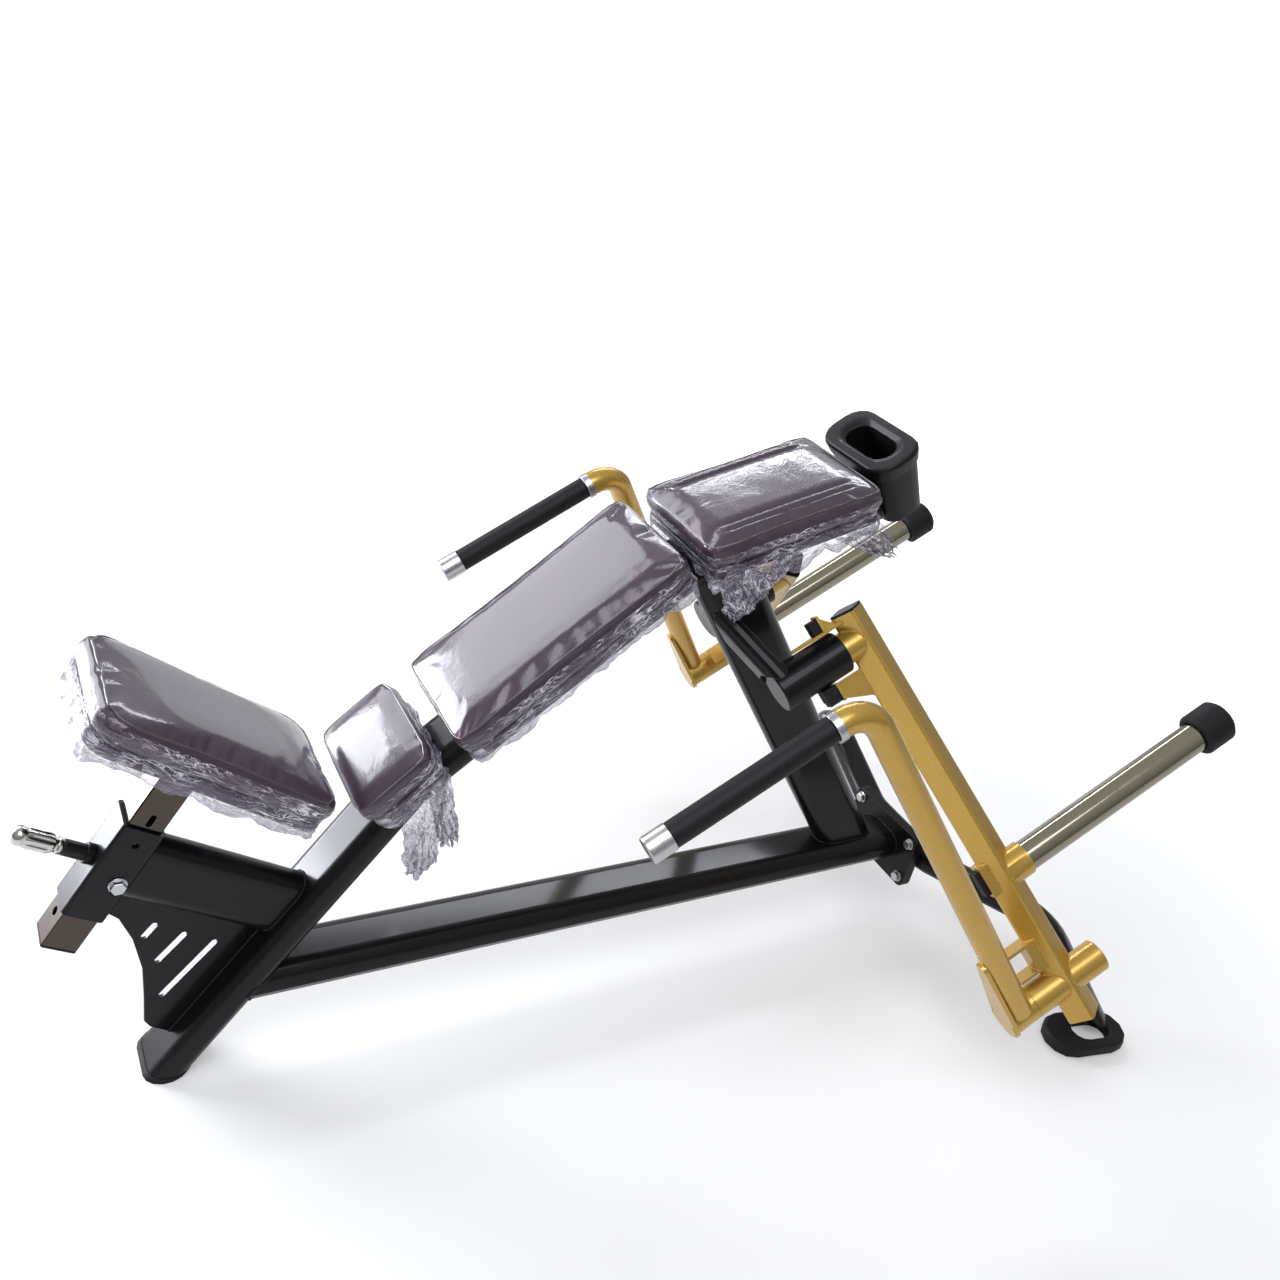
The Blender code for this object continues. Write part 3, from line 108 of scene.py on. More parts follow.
# Studio: a white floor that runs up to a white surround. A soft box overhead is the key, and panes
# and cards behind the machine give the long reflections that its gloss shows. The floor is washed
# with light away from the machine, and keeps its soft shadow close to it.
floor_corners = [(-14, -14, 0), (16, -14, 0), (16, 14, 0), (-14, 14, 0)]
under_machine, shadow_reach, wash_reach = (0.75, 0.2, 0.0), 1.2, 3.2
wash_near, wash_far, share_in_gloss = 0.20, 0.95, 0.15
sky_low, sky_high, lamp_white = 0.16, 0.55, "#F4F7FF"
floor_mesh = bpy.data.meshes.new("floor")
floor_mesh.from_pydata(floor_corners, [], [(0, 1, 2, 3)])
floor = bpy.data.objects.new("floor", floor_mesh)
bpy.context.scene.collection.objects.link(floor)
floor_white, tree, shader = new_material("white_painted_floor")
shader.inputs["Base Color"].default_value = linear("#ECECEC")
shader.inputs["Roughness"].default_value = 0.9
shader.inputs["Specular IOR Level"].default_value = 0.1
rays = add(tree, "LightPath")
direct = add(tree, "Math", {"operation": "MAXIMUM"}, _0=rays.outputs["Is Camera Ray"],
             _1=rays.outputs["Is Transmission Ray"])
mirrored = add(tree, "Math", {"operation": "MULTIPLY"}, _0=rays.outputs["Is Glossy Ray"],
               _1=share_in_gloss)
seen = add(tree, "Math", {"operation": "MAXIMUM"}, _0=direct.outputs[0], _1=mirrored.outputs[0])
far_off = add(tree, "VectorMath", {"operation": "DISTANCE"}, _0=add(tree, "TexCoord").outputs["Object"],
              _1=under_machine)
wash = add(tree, "MapRange", {"interpolation_type": "SMOOTHSTEP"}, Value=far_off.outputs["Value"],
           From_Min=shadow_reach, From_Max=wash_reach, To_Min=wash_near, To_Max=wash_far)
lift = add(tree, "Math", {"operation": "MULTIPLY"}, _0=seen.outputs[0], _1=wash.outputs[0])
glow = add(tree, "Emission", Strength=lift.outputs[0])
both = add(tree, "AddShader", _0=shader.outputs[0], _1=glow.outputs[0])
tree.links.new(both.outputs[0], tree.nodes["Material Output"].inputs["Surface"])
floor_mesh.materials.append(floor_white)

world = bpy.data.worlds.new("white_surround")
bpy.context.scene.world = world
world.use_nodes = True
tree = world.node_tree
rays = add(tree, "LightPath")
back = tree.nodes["Background"]
back.inputs["Color"].default_value = linear("#FFFFFF")
height = add(tree, "SeparateXYZ", None, Vector=add(tree, "TexCoord").outputs["Generated"])
sky = add(tree, "MapRange", None, Value=height.outputs["Z"], From_Min=-0.1, From_Max=0.9, To_Min=sky_low,
          To_Max=sky_high)
lit = add(tree, "Math", {"operation": "MAXIMUM"}, _0=rays.outputs["Is Camera Ray"], _1=sky.outputs[0])
tree.links.new(lit.outputs[0], back.inputs["Strength"])

for name, place, aim, wide, high, watts in (
        ("key_box", (-0.4, -1.4, 3.2), (0.7, 0, 0.5), 2.6, 1.6, 48),
        ("low_pane", (-2.0, 2.6, 1.20), (0.2, 0, 0.6), 1.7, 1.5, 84),
        ("leg_card", (-2.1, 2.5, 0.24), (0.1, 0, 0.4), 1.6, 0.42, 52),
        ("foot_card", (-1.05, 1.25, 0.16), (-0.05, 0, 0.45), 0.7, 0.30, 7),
        ("high_pane", (-0.75, 2.7, 2.45), (0.5, 0, 0.7), 1.9, 1.6, 40),
        ("rail_card", (2.30, 2.62, 2.84), (1.80, 0, 0.2), 2.6, 0.26, 33),
        ("seat_card", (1.9, 2.9, 0.95), (0.1, 0, 0.6), 2.2, 1.1, 7)):
    lamp = bpy.data.objects.new(name, bpy.data.lights.new(name, "AREA"))
    lamp.data.shape = "RECTANGLE"
    lamp.data.size, lamp.data.size_y, lamp.data.energy = wide, high, watts
    lamp.data.color = linear(lamp_white)[:3]
    lamp.location = place
    lamp.rotation_euler = (Vector(place) - Vector(aim)).to_track_quat("Z", "Y").to_euler()
    bpy.context.scene.collection.objects.link(lamp)


# Welded frame: flat oval steel tube, cut, coped and welded, then powder coated semi-gloss black.
# The coat levels into a fine orange peel and softens every cut edge.
def orange_peel(tree, shader, rough, spread, strength):
    """Levelling marks about 2.5 mm across, drawn as coarse as they need to show, and a faint haze."""
    peels_per_metre, clouds_per_metre, peel_high = 420.0, 14.0, 0.0004
    place = add(tree, "TexCoord").outputs["Object"]
    peel = add(tree, "TexNoise", None, Vector=place, Scale=peels_per_metre, Detail=2.0)
    haze = add(tree, "TexNoise", None, Vector=place, Scale=clouds_per_metre, Detail=4.0, Roughness=0.6)
    rough_map = add(tree, "MapRange", None, Value=haze.outputs[0], From_Min=0.3, From_Max=0.7,
                    To_Min=rough - spread, To_Max=rough + spread)
    bump = add(tree, "Bump", None, Strength=strength, Distance=peel_high, Height=peel.outputs[0])
    tree.links.new(rough_map.outputs[0], shader.inputs["Roughness"])
    tree.links.new(bump.outputs[0], shader.inputs["Normal"])
    return place, haze.outputs[0]


# Cured polyester powder: near-black and dull in itself, under a smooth skin that mirrors light in
# flat crisp bands on the tops and leaves the sides dark.
black_coat, tree, shader = new_material("black_powder_coat_semi_gloss")
_, haze = orange_peel(tree, shader, rough=0.34, spread=0.06, strength=0.25)
tone = add(tree, "Mix", {"data_type": "RGBA"}, Factor=haze, _6=linear("#0B0A0D"), _7=linear("#121114"))
tree.links.new(tone.outputs[2], shader.inputs["Base Color"])
shader.inputs["Specular IOR Level"].default_value = 0.12
shader.inputs["Coat Weight"].default_value = 0.30
shader.inputs["Coat Roughness"].default_value = 0.11


def solid_copy(node, same_point=1e-5, same_plane=radians(0.5)):
    """A CAD node's mesh with its loose triangles joined into flat faces."""
    shell = bmesh.new()
    shell.from_mesh(nodes[node].data)
    bmesh.ops.remove_doubles(shell, verts=shell.verts, dist=same_point)
    bmesh.ops.dissolve_limit(shell, angle_limit=same_plane, verts=shell.verts, edges=shell.edges)
    return shell


def link(name, mesh):
    """Puts a mesh or curve into the scene as an object at the origin."""
    item = bpy.data.objects.new(name, mesh)
    bpy.context.scene.collection.objects.link(item)
    return item


def settle(item):
    """Applies an object's modifiers to its mesh."""
    view = bpy.context.evaluated_depsgraph_get()
    made = bpy.data.meshes.new_from_object(item.evaluated_get(view))
    item.modifiers.clear()
    item.data = made


def stand_in(item, finish, slot, *replaced, body=None):
    """Gives a piece its finish and its body, and hides the CAD nodes that it stands for. The slot is not
    used.
    """
    item.data.materials.clear()
    item.data.materials.append(finish)
    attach(item, body or body_of[replaced[0]])
    if replaced:
        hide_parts(*replaced)


def dressed(node, finish, slot, edge, sharp=radians(38)):
    """The node's own solid with eased edges, smooth rounds and flat flats."""
    shell = solid_copy(node)
    mesh = bpy.data.meshes.new(node + "_shape")
    shell.to_mesh(mesh)
    shell.free()
    mesh.shade_smooth()
    mesh.set_sharp_from_angle(angle=sharp)
    item = link(node + "_piece", mesh)
    if edge:
        ease = item.modifiers.new("eased_edges", "BEVEL")
        ease.width = edge
        ease.segments = 2
        ease.limit_method = "ANGLE"
        ease.angle_limit = sharp
    flats = item.modifiers.new("flats_stay_flat", "WEIGHTED_NORMAL")
    flats.keep_sharp = True
    flats.weight = 100
    settle(item)
    stand_in(item, finish, slot, node)


frame_tubes = ("front_leg", "bench_rail", "head_rail", "base_rail", "upright", "rear_beam", "seat_arm",
               "shoulder_tube_left", "shoulder_tube_right", "pivot_housing_left", "pivot_housing_right")
frame_plates = ("rail_flange", "rear_flange", "sleeve_gusset", "lumbar_wedge", "seat_sleeve", "seat_bracket")
for node in frame_tubes:
    dressed(node, black_coat, "frame_black", edge=0.0008)
for node in frame_plates:
    dressed(node, black_coat, "frame_black", edge=0.0006)


# Weld beads: overlapping ripples of weld metal, laid along every joint before coating. The coat
# covers and rounds them, so they show as a row of small soft scales.
def chains(edges):
    """Lines of points through a list of edges, taken in the list's order so that each run gives the same."""
    left, found = dict.fromkeys(edges), []
    while left:
        edge = next(iter(left))
        del left[edge]
        line = [edge.verts[0], edge.verts[1]]
        for end in (1, 0):
            while True:
                tip = line[-1] if end else line[0]
                step = next((e for e in tip.link_edges if e in left), None)
                if not step:
                    break
                del left[step]
                line.insert(len(line) if end else 0, step.other_vert(tip))
        found.append([v.co.copy() for v in line])
    return found


def joint_lines(node, other, touch=0.0016, corner=radians(25)):
    """Sharp edges of a node that lie on another node, which is where it is welded."""
    shell, far = solid_copy(node), bmesh.new()
    far.from_mesh(nodes[other].data)
    tree = BVHTree.FromBMesh(far)
    edges = [e for e in shell.edges if len(e.link_faces) == 2 and e.calc_face_angle(0) > corner
             and all(tree.find_nearest(v.co, touch)[0] is not None for v in e.verts)]
    lines = chains(edges)
    shell.free()
    far.free()
    return lines


def inner_lines(node, least=0.012, clear=0.06, corner=radians(30), off_surface=0.0005):
    """Concave edges on the outside of a welded piece, along which its parts are joined."""
    shell = solid_copy(node)
    tree = BVHTree.FromBMesh(shell)
    edges = []
    for e in shell.edges:
        if len(e.link_faces) == 2 and e.calc_face_angle_signed(0) < -corner:
            out = (e.link_faces[0].normal + e.link_faces[1].normal).normalized()
            middle = (e.verts[0].co + e.verts[1].co) / 2
            if tree.ray_cast(middle + out * off_surface, out, clear)[0] is None:
                edges.append(e)
    lines = chains(edges)
    shell.free()
    return [line for line in lines if sum((a - b).length for a, b in zip(line, line[1:])) > least]


def geometry_tree(name, inputs):
    """An empty geometry tree with named inputs, and its input and output nodes."""
    tree = bpy.data.node_groups.new(name, "GeometryNodeTree")
    tree.interface.new_socket("Geometry", in_out="INPUT", socket_type="NodeSocketGeometry")
    for label, kind, value in inputs:
        socket = tree.interface.new_socket(label, in_out="INPUT", socket_type="NodeSocket" + kind)
        if value is not None:
            socket.default_value = value
    tree.interface.new_socket("Geometry", in_out="OUTPUT", socket_type="NodeSocketGeometry")
    return tree, tree.nodes.new("NodeGroupInput"), tree.nodes.new("NodeGroupOutput")


least_drop, most_drop = 0.86, 1.1      # sizes of the ripples, as shares of the radius
bead_tree, source, result = geometry_tree("weld_bead", [
    ("Pitch", "Float", 0.0024), ("Radius", "Float", 0.0022), ("Seed", "Int", 3),
    ("Finish", "Material", None)])
line = add(bead_tree, "GeometryNodeResampleCurve", {"mode": "LENGTH"}, Curve=source.outputs["Geometry"],
           Length=source.outputs["Pitch"])
drop = add(bead_tree, "GeometryNodeMeshIcoSphere", None, Radius=source.outputs["Radius"], Subdivisions=2)
size = add(bead_tree, "FunctionNodeRandomValue", None, _2=least_drop, _3=most_drop,
           Seed=source.outputs["Seed"])
drops = add(bead_tree, "GeometryNodeInstanceOnPoints", None, Points=line.outputs[0],
            Instance=drop.outputs[0], Scale=size.outputs[1])
real = add(bead_tree, "GeometryNodeRealizeInstances", None, Geometry=drops.outputs[0])
smooth = add(bead_tree, "GeometryNodeSetShadeSmooth", None, Geometry=real.outputs[0])
coated = add(bead_tree, "GeometryNodeSetMaterial", None, Geometry=smooth.outputs[0],
             Material=source.outputs["Finish"])
bead_tree.links.new(coated.outputs[0], result.inputs[0])


def set_inputs(step, values):
    """Sets a modifier's inputs by their sockets' identifiers."""
    for item in step.node_group.interface.items_tree:
        if item.in_out == "INPUT" and item.name in values:
            step[item.identifier] = values[item.name]


def along_lines(name, lines, tree, values, finish, body):
    """Runs a geometry tree along lines and keeps the result as one plain mesh."""
    curve = bpy.data.curves.new(name + "_lines", "CURVE")
    curve.dimensions = "3D"
    for points in lines:
        spline = curve.splines.new("POLY")
        spline.points.add(len(points) - 1)
        for spot, point in zip(spline.points, points):
            spot.co = (*point, 1)
    item = link(name, curve)
    step = item.modifiers.new("along", "NODES")
    step.node_group = tree
    set_inputs(step, {**values, "Finish": finish})
    view = bpy.context.evaluated_depsgraph_get()
    mesh = bpy.data.meshes.new_from_object(item.evaluated_get(view))
    bpy.data.objects.remove(item)
    item = link(name, mesh)
    mesh.materials.clear()
    mesh.materials.append(finish)
    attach(item, body)


frame_welds = (("base_rail", "front_leg"), ("bench_rail", "front_leg"), ("bench_rail", "upright"),
               ("seat_arm", "front_leg"), ("seat_sleeve", "seat_arm"), ("sleeve_gusset", "front_leg"),
               ("sleeve_gusset", "seat_arm"), ("head_rail", "upright"), ("shoulder_tube_left", "upright"),
               ("shoulder_tube_right", "upright"), ("shoulder_tube_left", "pivot_housing_left"),
               ("shoulder_tube_right", "pivot_housing_right"), ("base_rail", "rail_flange"),
               ("upright", "base_rail"), ("rear_beam", "rear_flange"), ("lumbar_wedge", "bench_rail"))
welds = []
for node, other in frame_welds:
    welds += joint_lines(node, other)
along_lines("frame_weld_beads", welds, bead_tree, {"Pitch": 0.0024, "Radius": 0.0023}, black_coat,
            "frame")


# Feet: black rubber, a shoe pressed over the front leg's lower end and a looped foot under each rear
# leg. They are moulded, so their edges are rounder than the steel's.
def moulded_rubber(name, colour, rough, grains_per_metre, grain_deep, rough_spread=0.06):
    """Rubber or plastic from a blasted mould: matt, with a fine grain and faint dust."""
    dust_per_metre = 22.0
    made, tree, shader = new_material(name)
    place = add(tree, "TexCoord").outputs["Object"]
    fine = add(tree, "TexNoise", None, Vector=place, Scale=grains_per_metre, Detail=3.0)
    dust = add(tree, "TexNoise", None, Vector=place, Scale=dust_per_metre, Detail=5.0, Roughness=0.65)
    tone = add(tree, "Mix", {"data_type": "RGBA"}, Factor=dust.outputs[0], _6=linear(colour[0]),
               _7=linear(colour[1]))
    rough_map = add(tree, "MapRange", None, Value=fine.outputs[0], From_Min=0.3, From_Max=0.7,
                    To_Min=rough - rough_spread, To_Max=rough + rough_spread)
    bump = add(tree, "Bump", None, Strength=0.35, Distance=grain_deep, Height=fine.outputs[0])
    tree.links.new(tone.outputs[2], shader.inputs["Base Color"])
    tree.links.new(rough_map.outputs[0], shader.inputs["Roughness"])
    tree.links.new(bump.outputs[0], shader.inputs["Normal"])
    shader.inputs["Specular IOR Level"].default_value = 0.28
    return made


black_rubber = moulded_rubber("moulded_black_rubber", ("#101012", "#1A1A1C"), rough=0.58,
                              grains_per_metre=700.0, grain_deep=0.0004)
for node in ("leg_shoe", "foot_loop_left", "foot_loop_right", "post_plug"):
    dressed(node, black_rubber, "black_rubber", edge=0.0012)


# Flange and sleeve bolts: hexagon heads and nuts with plain washers, forged steel plated in bright
# zinc. Four hold the rear beam's flange to the rail's, and one the sleeve.
def plated(name, colour, low, high, line_scale=(1, 1, 1)):
    """Plated steel: metal whose roughness runs from low to high along a faint drawn grain."""
    lines_per_metre, clouds_per_metre, grain_deep = 60.0, 18.0, 0.0003
    made, tree, shader = new_material(name)
    shader.inputs["Base Color"].default_value = linear(colour)
    shader.inputs["Metallic"].default_value = 1.0
    place = add(tree, "TexCoord").outputs["Object"]
    drawn = add(tree, "Mapping", None, Vector=place, Scale=line_scale)
    grain = add(tree, "TexNoise", None, Vector=drawn.outputs[0], Scale=lines_per_metre, Detail=4.0)
    cloud = add(tree, "TexNoise", None, Vector=place, Scale=clouds_per_metre, Detail=3.0)
    mixed = add(tree, "Mix", {"data_type": "FLOAT"}, _0=0.4, _2=grain.outputs[0], _3=cloud.outputs[0])
    rough = add(tree, "MapRange", None, Value=mixed.outputs[0], From_Min=0.3, From_Max=0.7, To_Min=low,
                To_Max=high)
    bump = add(tree, "Bump", None, Strength=0.03, Distance=grain_deep, Height=grain.outputs[0])
    tree.links.new(rough.outputs[0], shader.inputs["Roughness"])
    tree.links.new(bump.outputs[0], shader.inputs["Normal"])
    return made


zinc = plated("bright_zinc_plate", "#C9CACD", low=0.22, high=0.36)
for node in ("flange_bolt_1", "flange_bolt_2", "flange_bolt_3", "flange_bolt_4", "sleeve_bolt"):
    dressed(node, zinc, "steel", edge=0.0004)

# Seat post: square steel tube with a row of holes for the pull pin. It is drawn and plated, so its
# grain runs up the tube. Its plate colour is a painted shade: a dark warm grey that stands in for the dark
# surroundings its flat sides mirror.
post_plate_painted_dark = plated("plated_square_tube", "#544D46", low=0.10, high=0.20, line_scale=(6, 6, 0.6))
dressed("seat_post", post_plate_painted_dark, "steel", edge=0.0004)

# Pull pin: a turned and chromed knob with eight flutes and a domed end, on a black threaded barrel.
# Its plunger is one piece with it and runs through the barrel to the post. The profile holds
# (distance from the nose, radius, flute depth) in metres.
chrome = plated("polished_chrome_plate", "#CFCDC9", low=0.05, high=0.12)
plunger_nose, pin_slope, plunger_long = Vector((-0.0819, 0, 0.4214)), radians(-30.5), 0.0467
knob_profile = (
    (0.0, 0.0, 0.0), (0.0, 0.0050, 0.0), (0.0005, 0.0055, 0.0), (plunger_long, 0.0055, 0.0),
    (plunger_long, 0.0108, 0.0), (0.0477, 0.0118, 0.0), (0.0517, 0.0122, 0.0), (0.0532, 0.0104, 0.0),
    (0.0562, 0.0104, 0.0), (0.0582, 0.0126, 0.0004), (0.0612, 0.0141, 0.0020), (0.0667, 0.0146, 0.0026),
    (0.0867, 0.0147, 0.0026), (0.0922, 0.0142, 0.0018), (0.0947, 0.0128, 0.0004), (0.0962, 0.0126, 0.0),
    (0.0977, 0.0138, 0.0), (0.1017, 0.0140, 0.0), (0.1057, 0.0128, 0.0), (0.1087, 0.0098, 0.0),
    (0.1107, 0.0056, 0.0), (0.1114, 0.0, 0.0))
flutes, knob_steps, flute_sharpness = 8, 96, 1.4


def turned_and_fluted(name, nose, slope, profile, sharp=radians(50)):
    """A piece turned about a line that starts at its nose, with flutes cut along it."""
    into, across = Vector((-cos(slope), 0, -sin(slope))), Vector((0, 1, 0))
    over = into.cross(across)
    shell = bmesh.new()
    rings = []
    for far, radius, deep in profile:
        ring = []
        for k in range(knob_steps if radius else 1):
            turn = 2 * pi * k / knob_steps
            r = radius - deep * (0.5 + 0.5 * cos(flutes * turn)) ** flute_sharpness
            ring.append(shell.verts.new(nose + into * far + (across * cos(turn) + over * sin(turn)) * r))
        rings.append(ring)
    for a, b in zip(rings, rings[1:]):
        for k in range(knob_steps):
            corners = [a[k % len(a)], a[(k + 1) % len(a)], b[(k + 1) % len(b)], b[k % len(b)]]
            shell.faces.new(list(dict.fromkeys(corners)))
    bmesh.ops.recalc_face_normals(shell, faces=shell.faces)
    mesh = bpy.data.meshes.new(name)
    shell.to_mesh(mesh)
    shell.free()
    mesh.shade_smooth()
    mesh.set_sharp_from_angle(angle=sharp)
    return link(name, mesh)


satin_plastic = moulded_rubber("moulded_satin_black_plastic", ("#0E0E10", "#161618"), rough=0.36,
                               grains_per_metre=900.0, grain_deep=0.0002)
knob = turned_and_fluted("fluted_knob", plunger_nose, pin_slope, knob_profile)
stand_in(knob, chrome, "chrome", "pull_pin")
dressed("pin_barrel", satin_plastic, "satin_black", edge=0.0005)

# Head-end holder: a deep pocket for small things, moulded in satin black plastic with a rounded
# raised rim, and fixed to the end of the head rail.
dressed("head_holder", satin_plastic, "satin_black", edge=0.0016)


# Levers and handles: square and round steel tube, welded and powder coated in metallic gold.
# The flakes, drawn 0.7 mm apart, give a soft broken sheen, and a clear top coat gives the long
# highlights over it.
gold_coat, tree, shader = new_material("metallic_gold_powder_coat")
flakes_per_metre = 1500.0
place, _ = orange_peel(tree, shader, rough=0.30, spread=0.04, strength=0.10)
flakes = add(tree, "TexVoronoi", {"feature": "F1"}, Vector=place, Scale=flakes_per_metre)
spark = add(tree, "MapRange", None, Value=flakes.outputs["Color"], From_Min=0.2, From_Max=0.9, To_Min=0.0,
            To_Max=1.0)
tone = add(tree, "Mix", {"data_type": "RGBA"}, Factor=spark.outputs[0], _6=linear("#C39A40"),
           _7=linear("#D3AE54"))
tree.links.new(tone.outputs[2], shader.inputs["Base Color"])
shader.inputs["Metallic"].default_value = 0.66
shader.inputs["Coat Weight"].default_value = 0.5
shader.inputs["Coat Roughness"].default_value = 0.10
for side in ("_left", "_right"):
    dressed("lever_arm" + side, gold_coat, "gold", edge=0.0006)
    dressed("handle_tube" + side, gold_coat, "gold", edge=0.0006)
    for label, node, body in (("lever_weld_beads", "lever_arm", "lever"),
                              ("handle_weld_beads", "handle_tube", "handle")):
        along_lines(label + side, inner_lines(node + side), bead_tree, {"Pitch": 0.0022, "Radius": 0.0015},
                    gold_coat, body + side)
    dressed("lever_plug" + side, satin_plastic, "satin_black", edge=0.0008)

# Plate horns: round steel tubes that carry the weight plates, plated in nickel. Each is held in a gold
# collar on its lever, and a moulded rubber cap closes its free end.
horn_plate = plated("nickel_plated_tube", "#9E9886", low=0.08, high=0.20)
for side in ("_left", "_right"):
    dressed("plate_horn" + side, horn_plate, "chrome", edge=0)
    dressed("horn_cap" + side, black_rubber, "black_rubber", edge=0.0012)

# Handle grips: thick sleeves of matt rubber, pushed onto the handle between a plated end cap and a
# plated collar.
grip_rubber = moulded_rubber("matt_grip_rubber", ("#121214", "#1B1A1D"), rough=0.50, grains_per_metre=600.0,
                             grain_deep=0.0005)
for side in ("_left", "_right"):
    dressed("grip" + side, grip_rubber, "grip_rubber", edge=0.0008)
    dressed("grip_bar" + side, zinc, "steel", edge=0.0006)

# Bumpers: small blocks of black rubber on the levers. Two stop the lever at its housing, and the
# swing buffer is what the handle rests against.
for side in ("_left", "_right"):
    for node in ("lower_bumper", "upper_bumper", "swing_buffer"):
        dressed(node + side, black_rubber, "black_rubber", edge=0.0009)

# Boards: plywood behind each pad, stained black and cut a little smaller than the pad. The stain
# leaves its grain showing as faint dull lines.
board_deep, board_set_back = 0.012, 0.008
fibres_per_metre, fibre_stretch, fibre_deep = 45.0, (1.0, 14.0, 1.0), 0.0004
stained_board, tree, shader = new_material("black_stained_plywood")
place = add(tree, "TexCoord").outputs["Object"]
fibres = add(tree, "Mapping", None, Vector=place, Scale=fibre_stretch)
grain = add(tree, "TexNoise", None, Vector=fibres.outputs[0], Scale=fibres_per_metre, Detail=5.0)
tone = add(tree, "Mix", {"data_type": "RGBA"}, Factor=grain.outputs[0], _6=linear("#17151A"),
           _7=linear("#2C272B"))
bump = add(tree, "Bump", None, Strength=0.3, Distance=fibre_deep, Height=grain.outputs[0])
tree.links.new(tone.outputs[2], shader.inputs["Base Color"])
tree.links.new(bump.outputs[0], shader.inputs["Normal"])
shader.inputs["Roughness"].default_value = 0.7
for node in ("back_board", "head_board", "lumbar_board", "seat_board"):
    dressed(node, stained_board, "board", edge=0.0008)


# Pads: foam on a board under dark plum vinyl, stretched, stapled below and sewn round the top panel.
# Each is still in its shrink film, so the vinyl's soft grain lies under a hard wrinkled gloss.
pores_per_metre, pore_deep = 420.0, 0.0006          # drawn 2.4 mm apart, coarser than real
patches_per_metre, wrinkles_per_metre, wrinkle_high = 9.0, 16.0, 0.004
vinyl, tree, shader = new_material("plum_vinyl_under_film")
place = add(tree, "TexCoord").outputs["Object"]
pores = add(tree, "TexVoronoi", {"feature": "SMOOTH_F1"}, Vector=place, Scale=pores_per_metre, Smoothness=0.6)
wear = add(tree, "TexNoise", None, Vector=place, Scale=patches_per_metre, Detail=5.0, Roughness=0.6)
tone = add(tree, "Mix", {"data_type": "RGBA"}, Factor=wear.outputs[0], _6=linear("#2E1F2E"),
           _7=linear("#422E41"))
grain = add(tree, "Bump", None, Strength=0.35, Distance=pore_deep, Height=pores.outputs[0])
stretch = add(tree, "TexNoise", None, Vector=place, Scale=wrinkles_per_metre, Detail=6.0, Roughness=0.62,
              Distortion=1.4)
ridge = add(tree, "Math", {"operation": "ABSOLUTE"},
            _0=add(tree, "Math", {"operation": "SUBTRACT"}, _0=stretch.outputs[0], _1=0.5).outputs[0])
film = add(tree, "Bump", None, Strength=0.22, Distance=wrinkle_high, Height=ridge.outputs[0])
tree.links.new(tone.outputs[2], shader.inputs["Base Color"])
tree.links.new(grain.outputs[0], shader.inputs["Normal"])
tree.links.new(film.outputs[0], shader.inputs["Coat Normal"])
shader.inputs["Roughness"].default_value = 0.38
shader.inputs["Coat Weight"].default_value = 1.0
shader.inputs["Coat Roughness"].default_value = 0.10

pad_facts = {                          # slope of the pad, lower top corner, length, width, height
    "back_pad": (41.1, (0.364, 0.6115), 0.409, 0.216, 0.048),
    "head_pad": (17.4, (0.712, 0.894), 0.298, 0.216, 0.048),
    "lumbar_pad": (44.0, (0.236, 0.505), 0.128, 0.196, 0.048),
    "seat_pad": (-33.5, (-0.073, 0.7185), 0.352, 0.212, 0.046),
}
voxel, swell_cap, shrink, held_rim, blow_steps = 0.005, 0.004, 0.0016, 0.006, 20


def pad_axes(pad):
    """The middle of the pad's lower top edge, and its directions along and up."""
    slope, (x, z), *_ = pad_facts[pad]
    along = Vector((cos(radians(slope)), 0, sin(radians(slope))))
    up = Vector((-along.z, 0, along.x))
    return Vector((x, 0, z)), along, up


def pad_coordinates(mesh, pad):
    """Each vertex as (along, across, up) from the middle of the pad's lower top edge."""
    start, along, up = pad_axes(pad)
    spots = np.zeros(len(mesh.vertices) * 3)
    mesh.vertices.foreach_get("co", spots)
    spots = spots.reshape(-1, 3) - np.array(start)
    return np.stack([spots @ np.array(along), spots[:, 1], spots @ np.array(up)], axis=1)


def from_pad(local, pad):
    """Places in metres of points given as (along, across, up)."""
    start, along, up = pad_axes(pad)
    return (np.array(start) + np.outer(local[:, 0], along) + np.outer(local[:, 1], (0, 1, 0))
            + np.outer(local[:, 2], up))


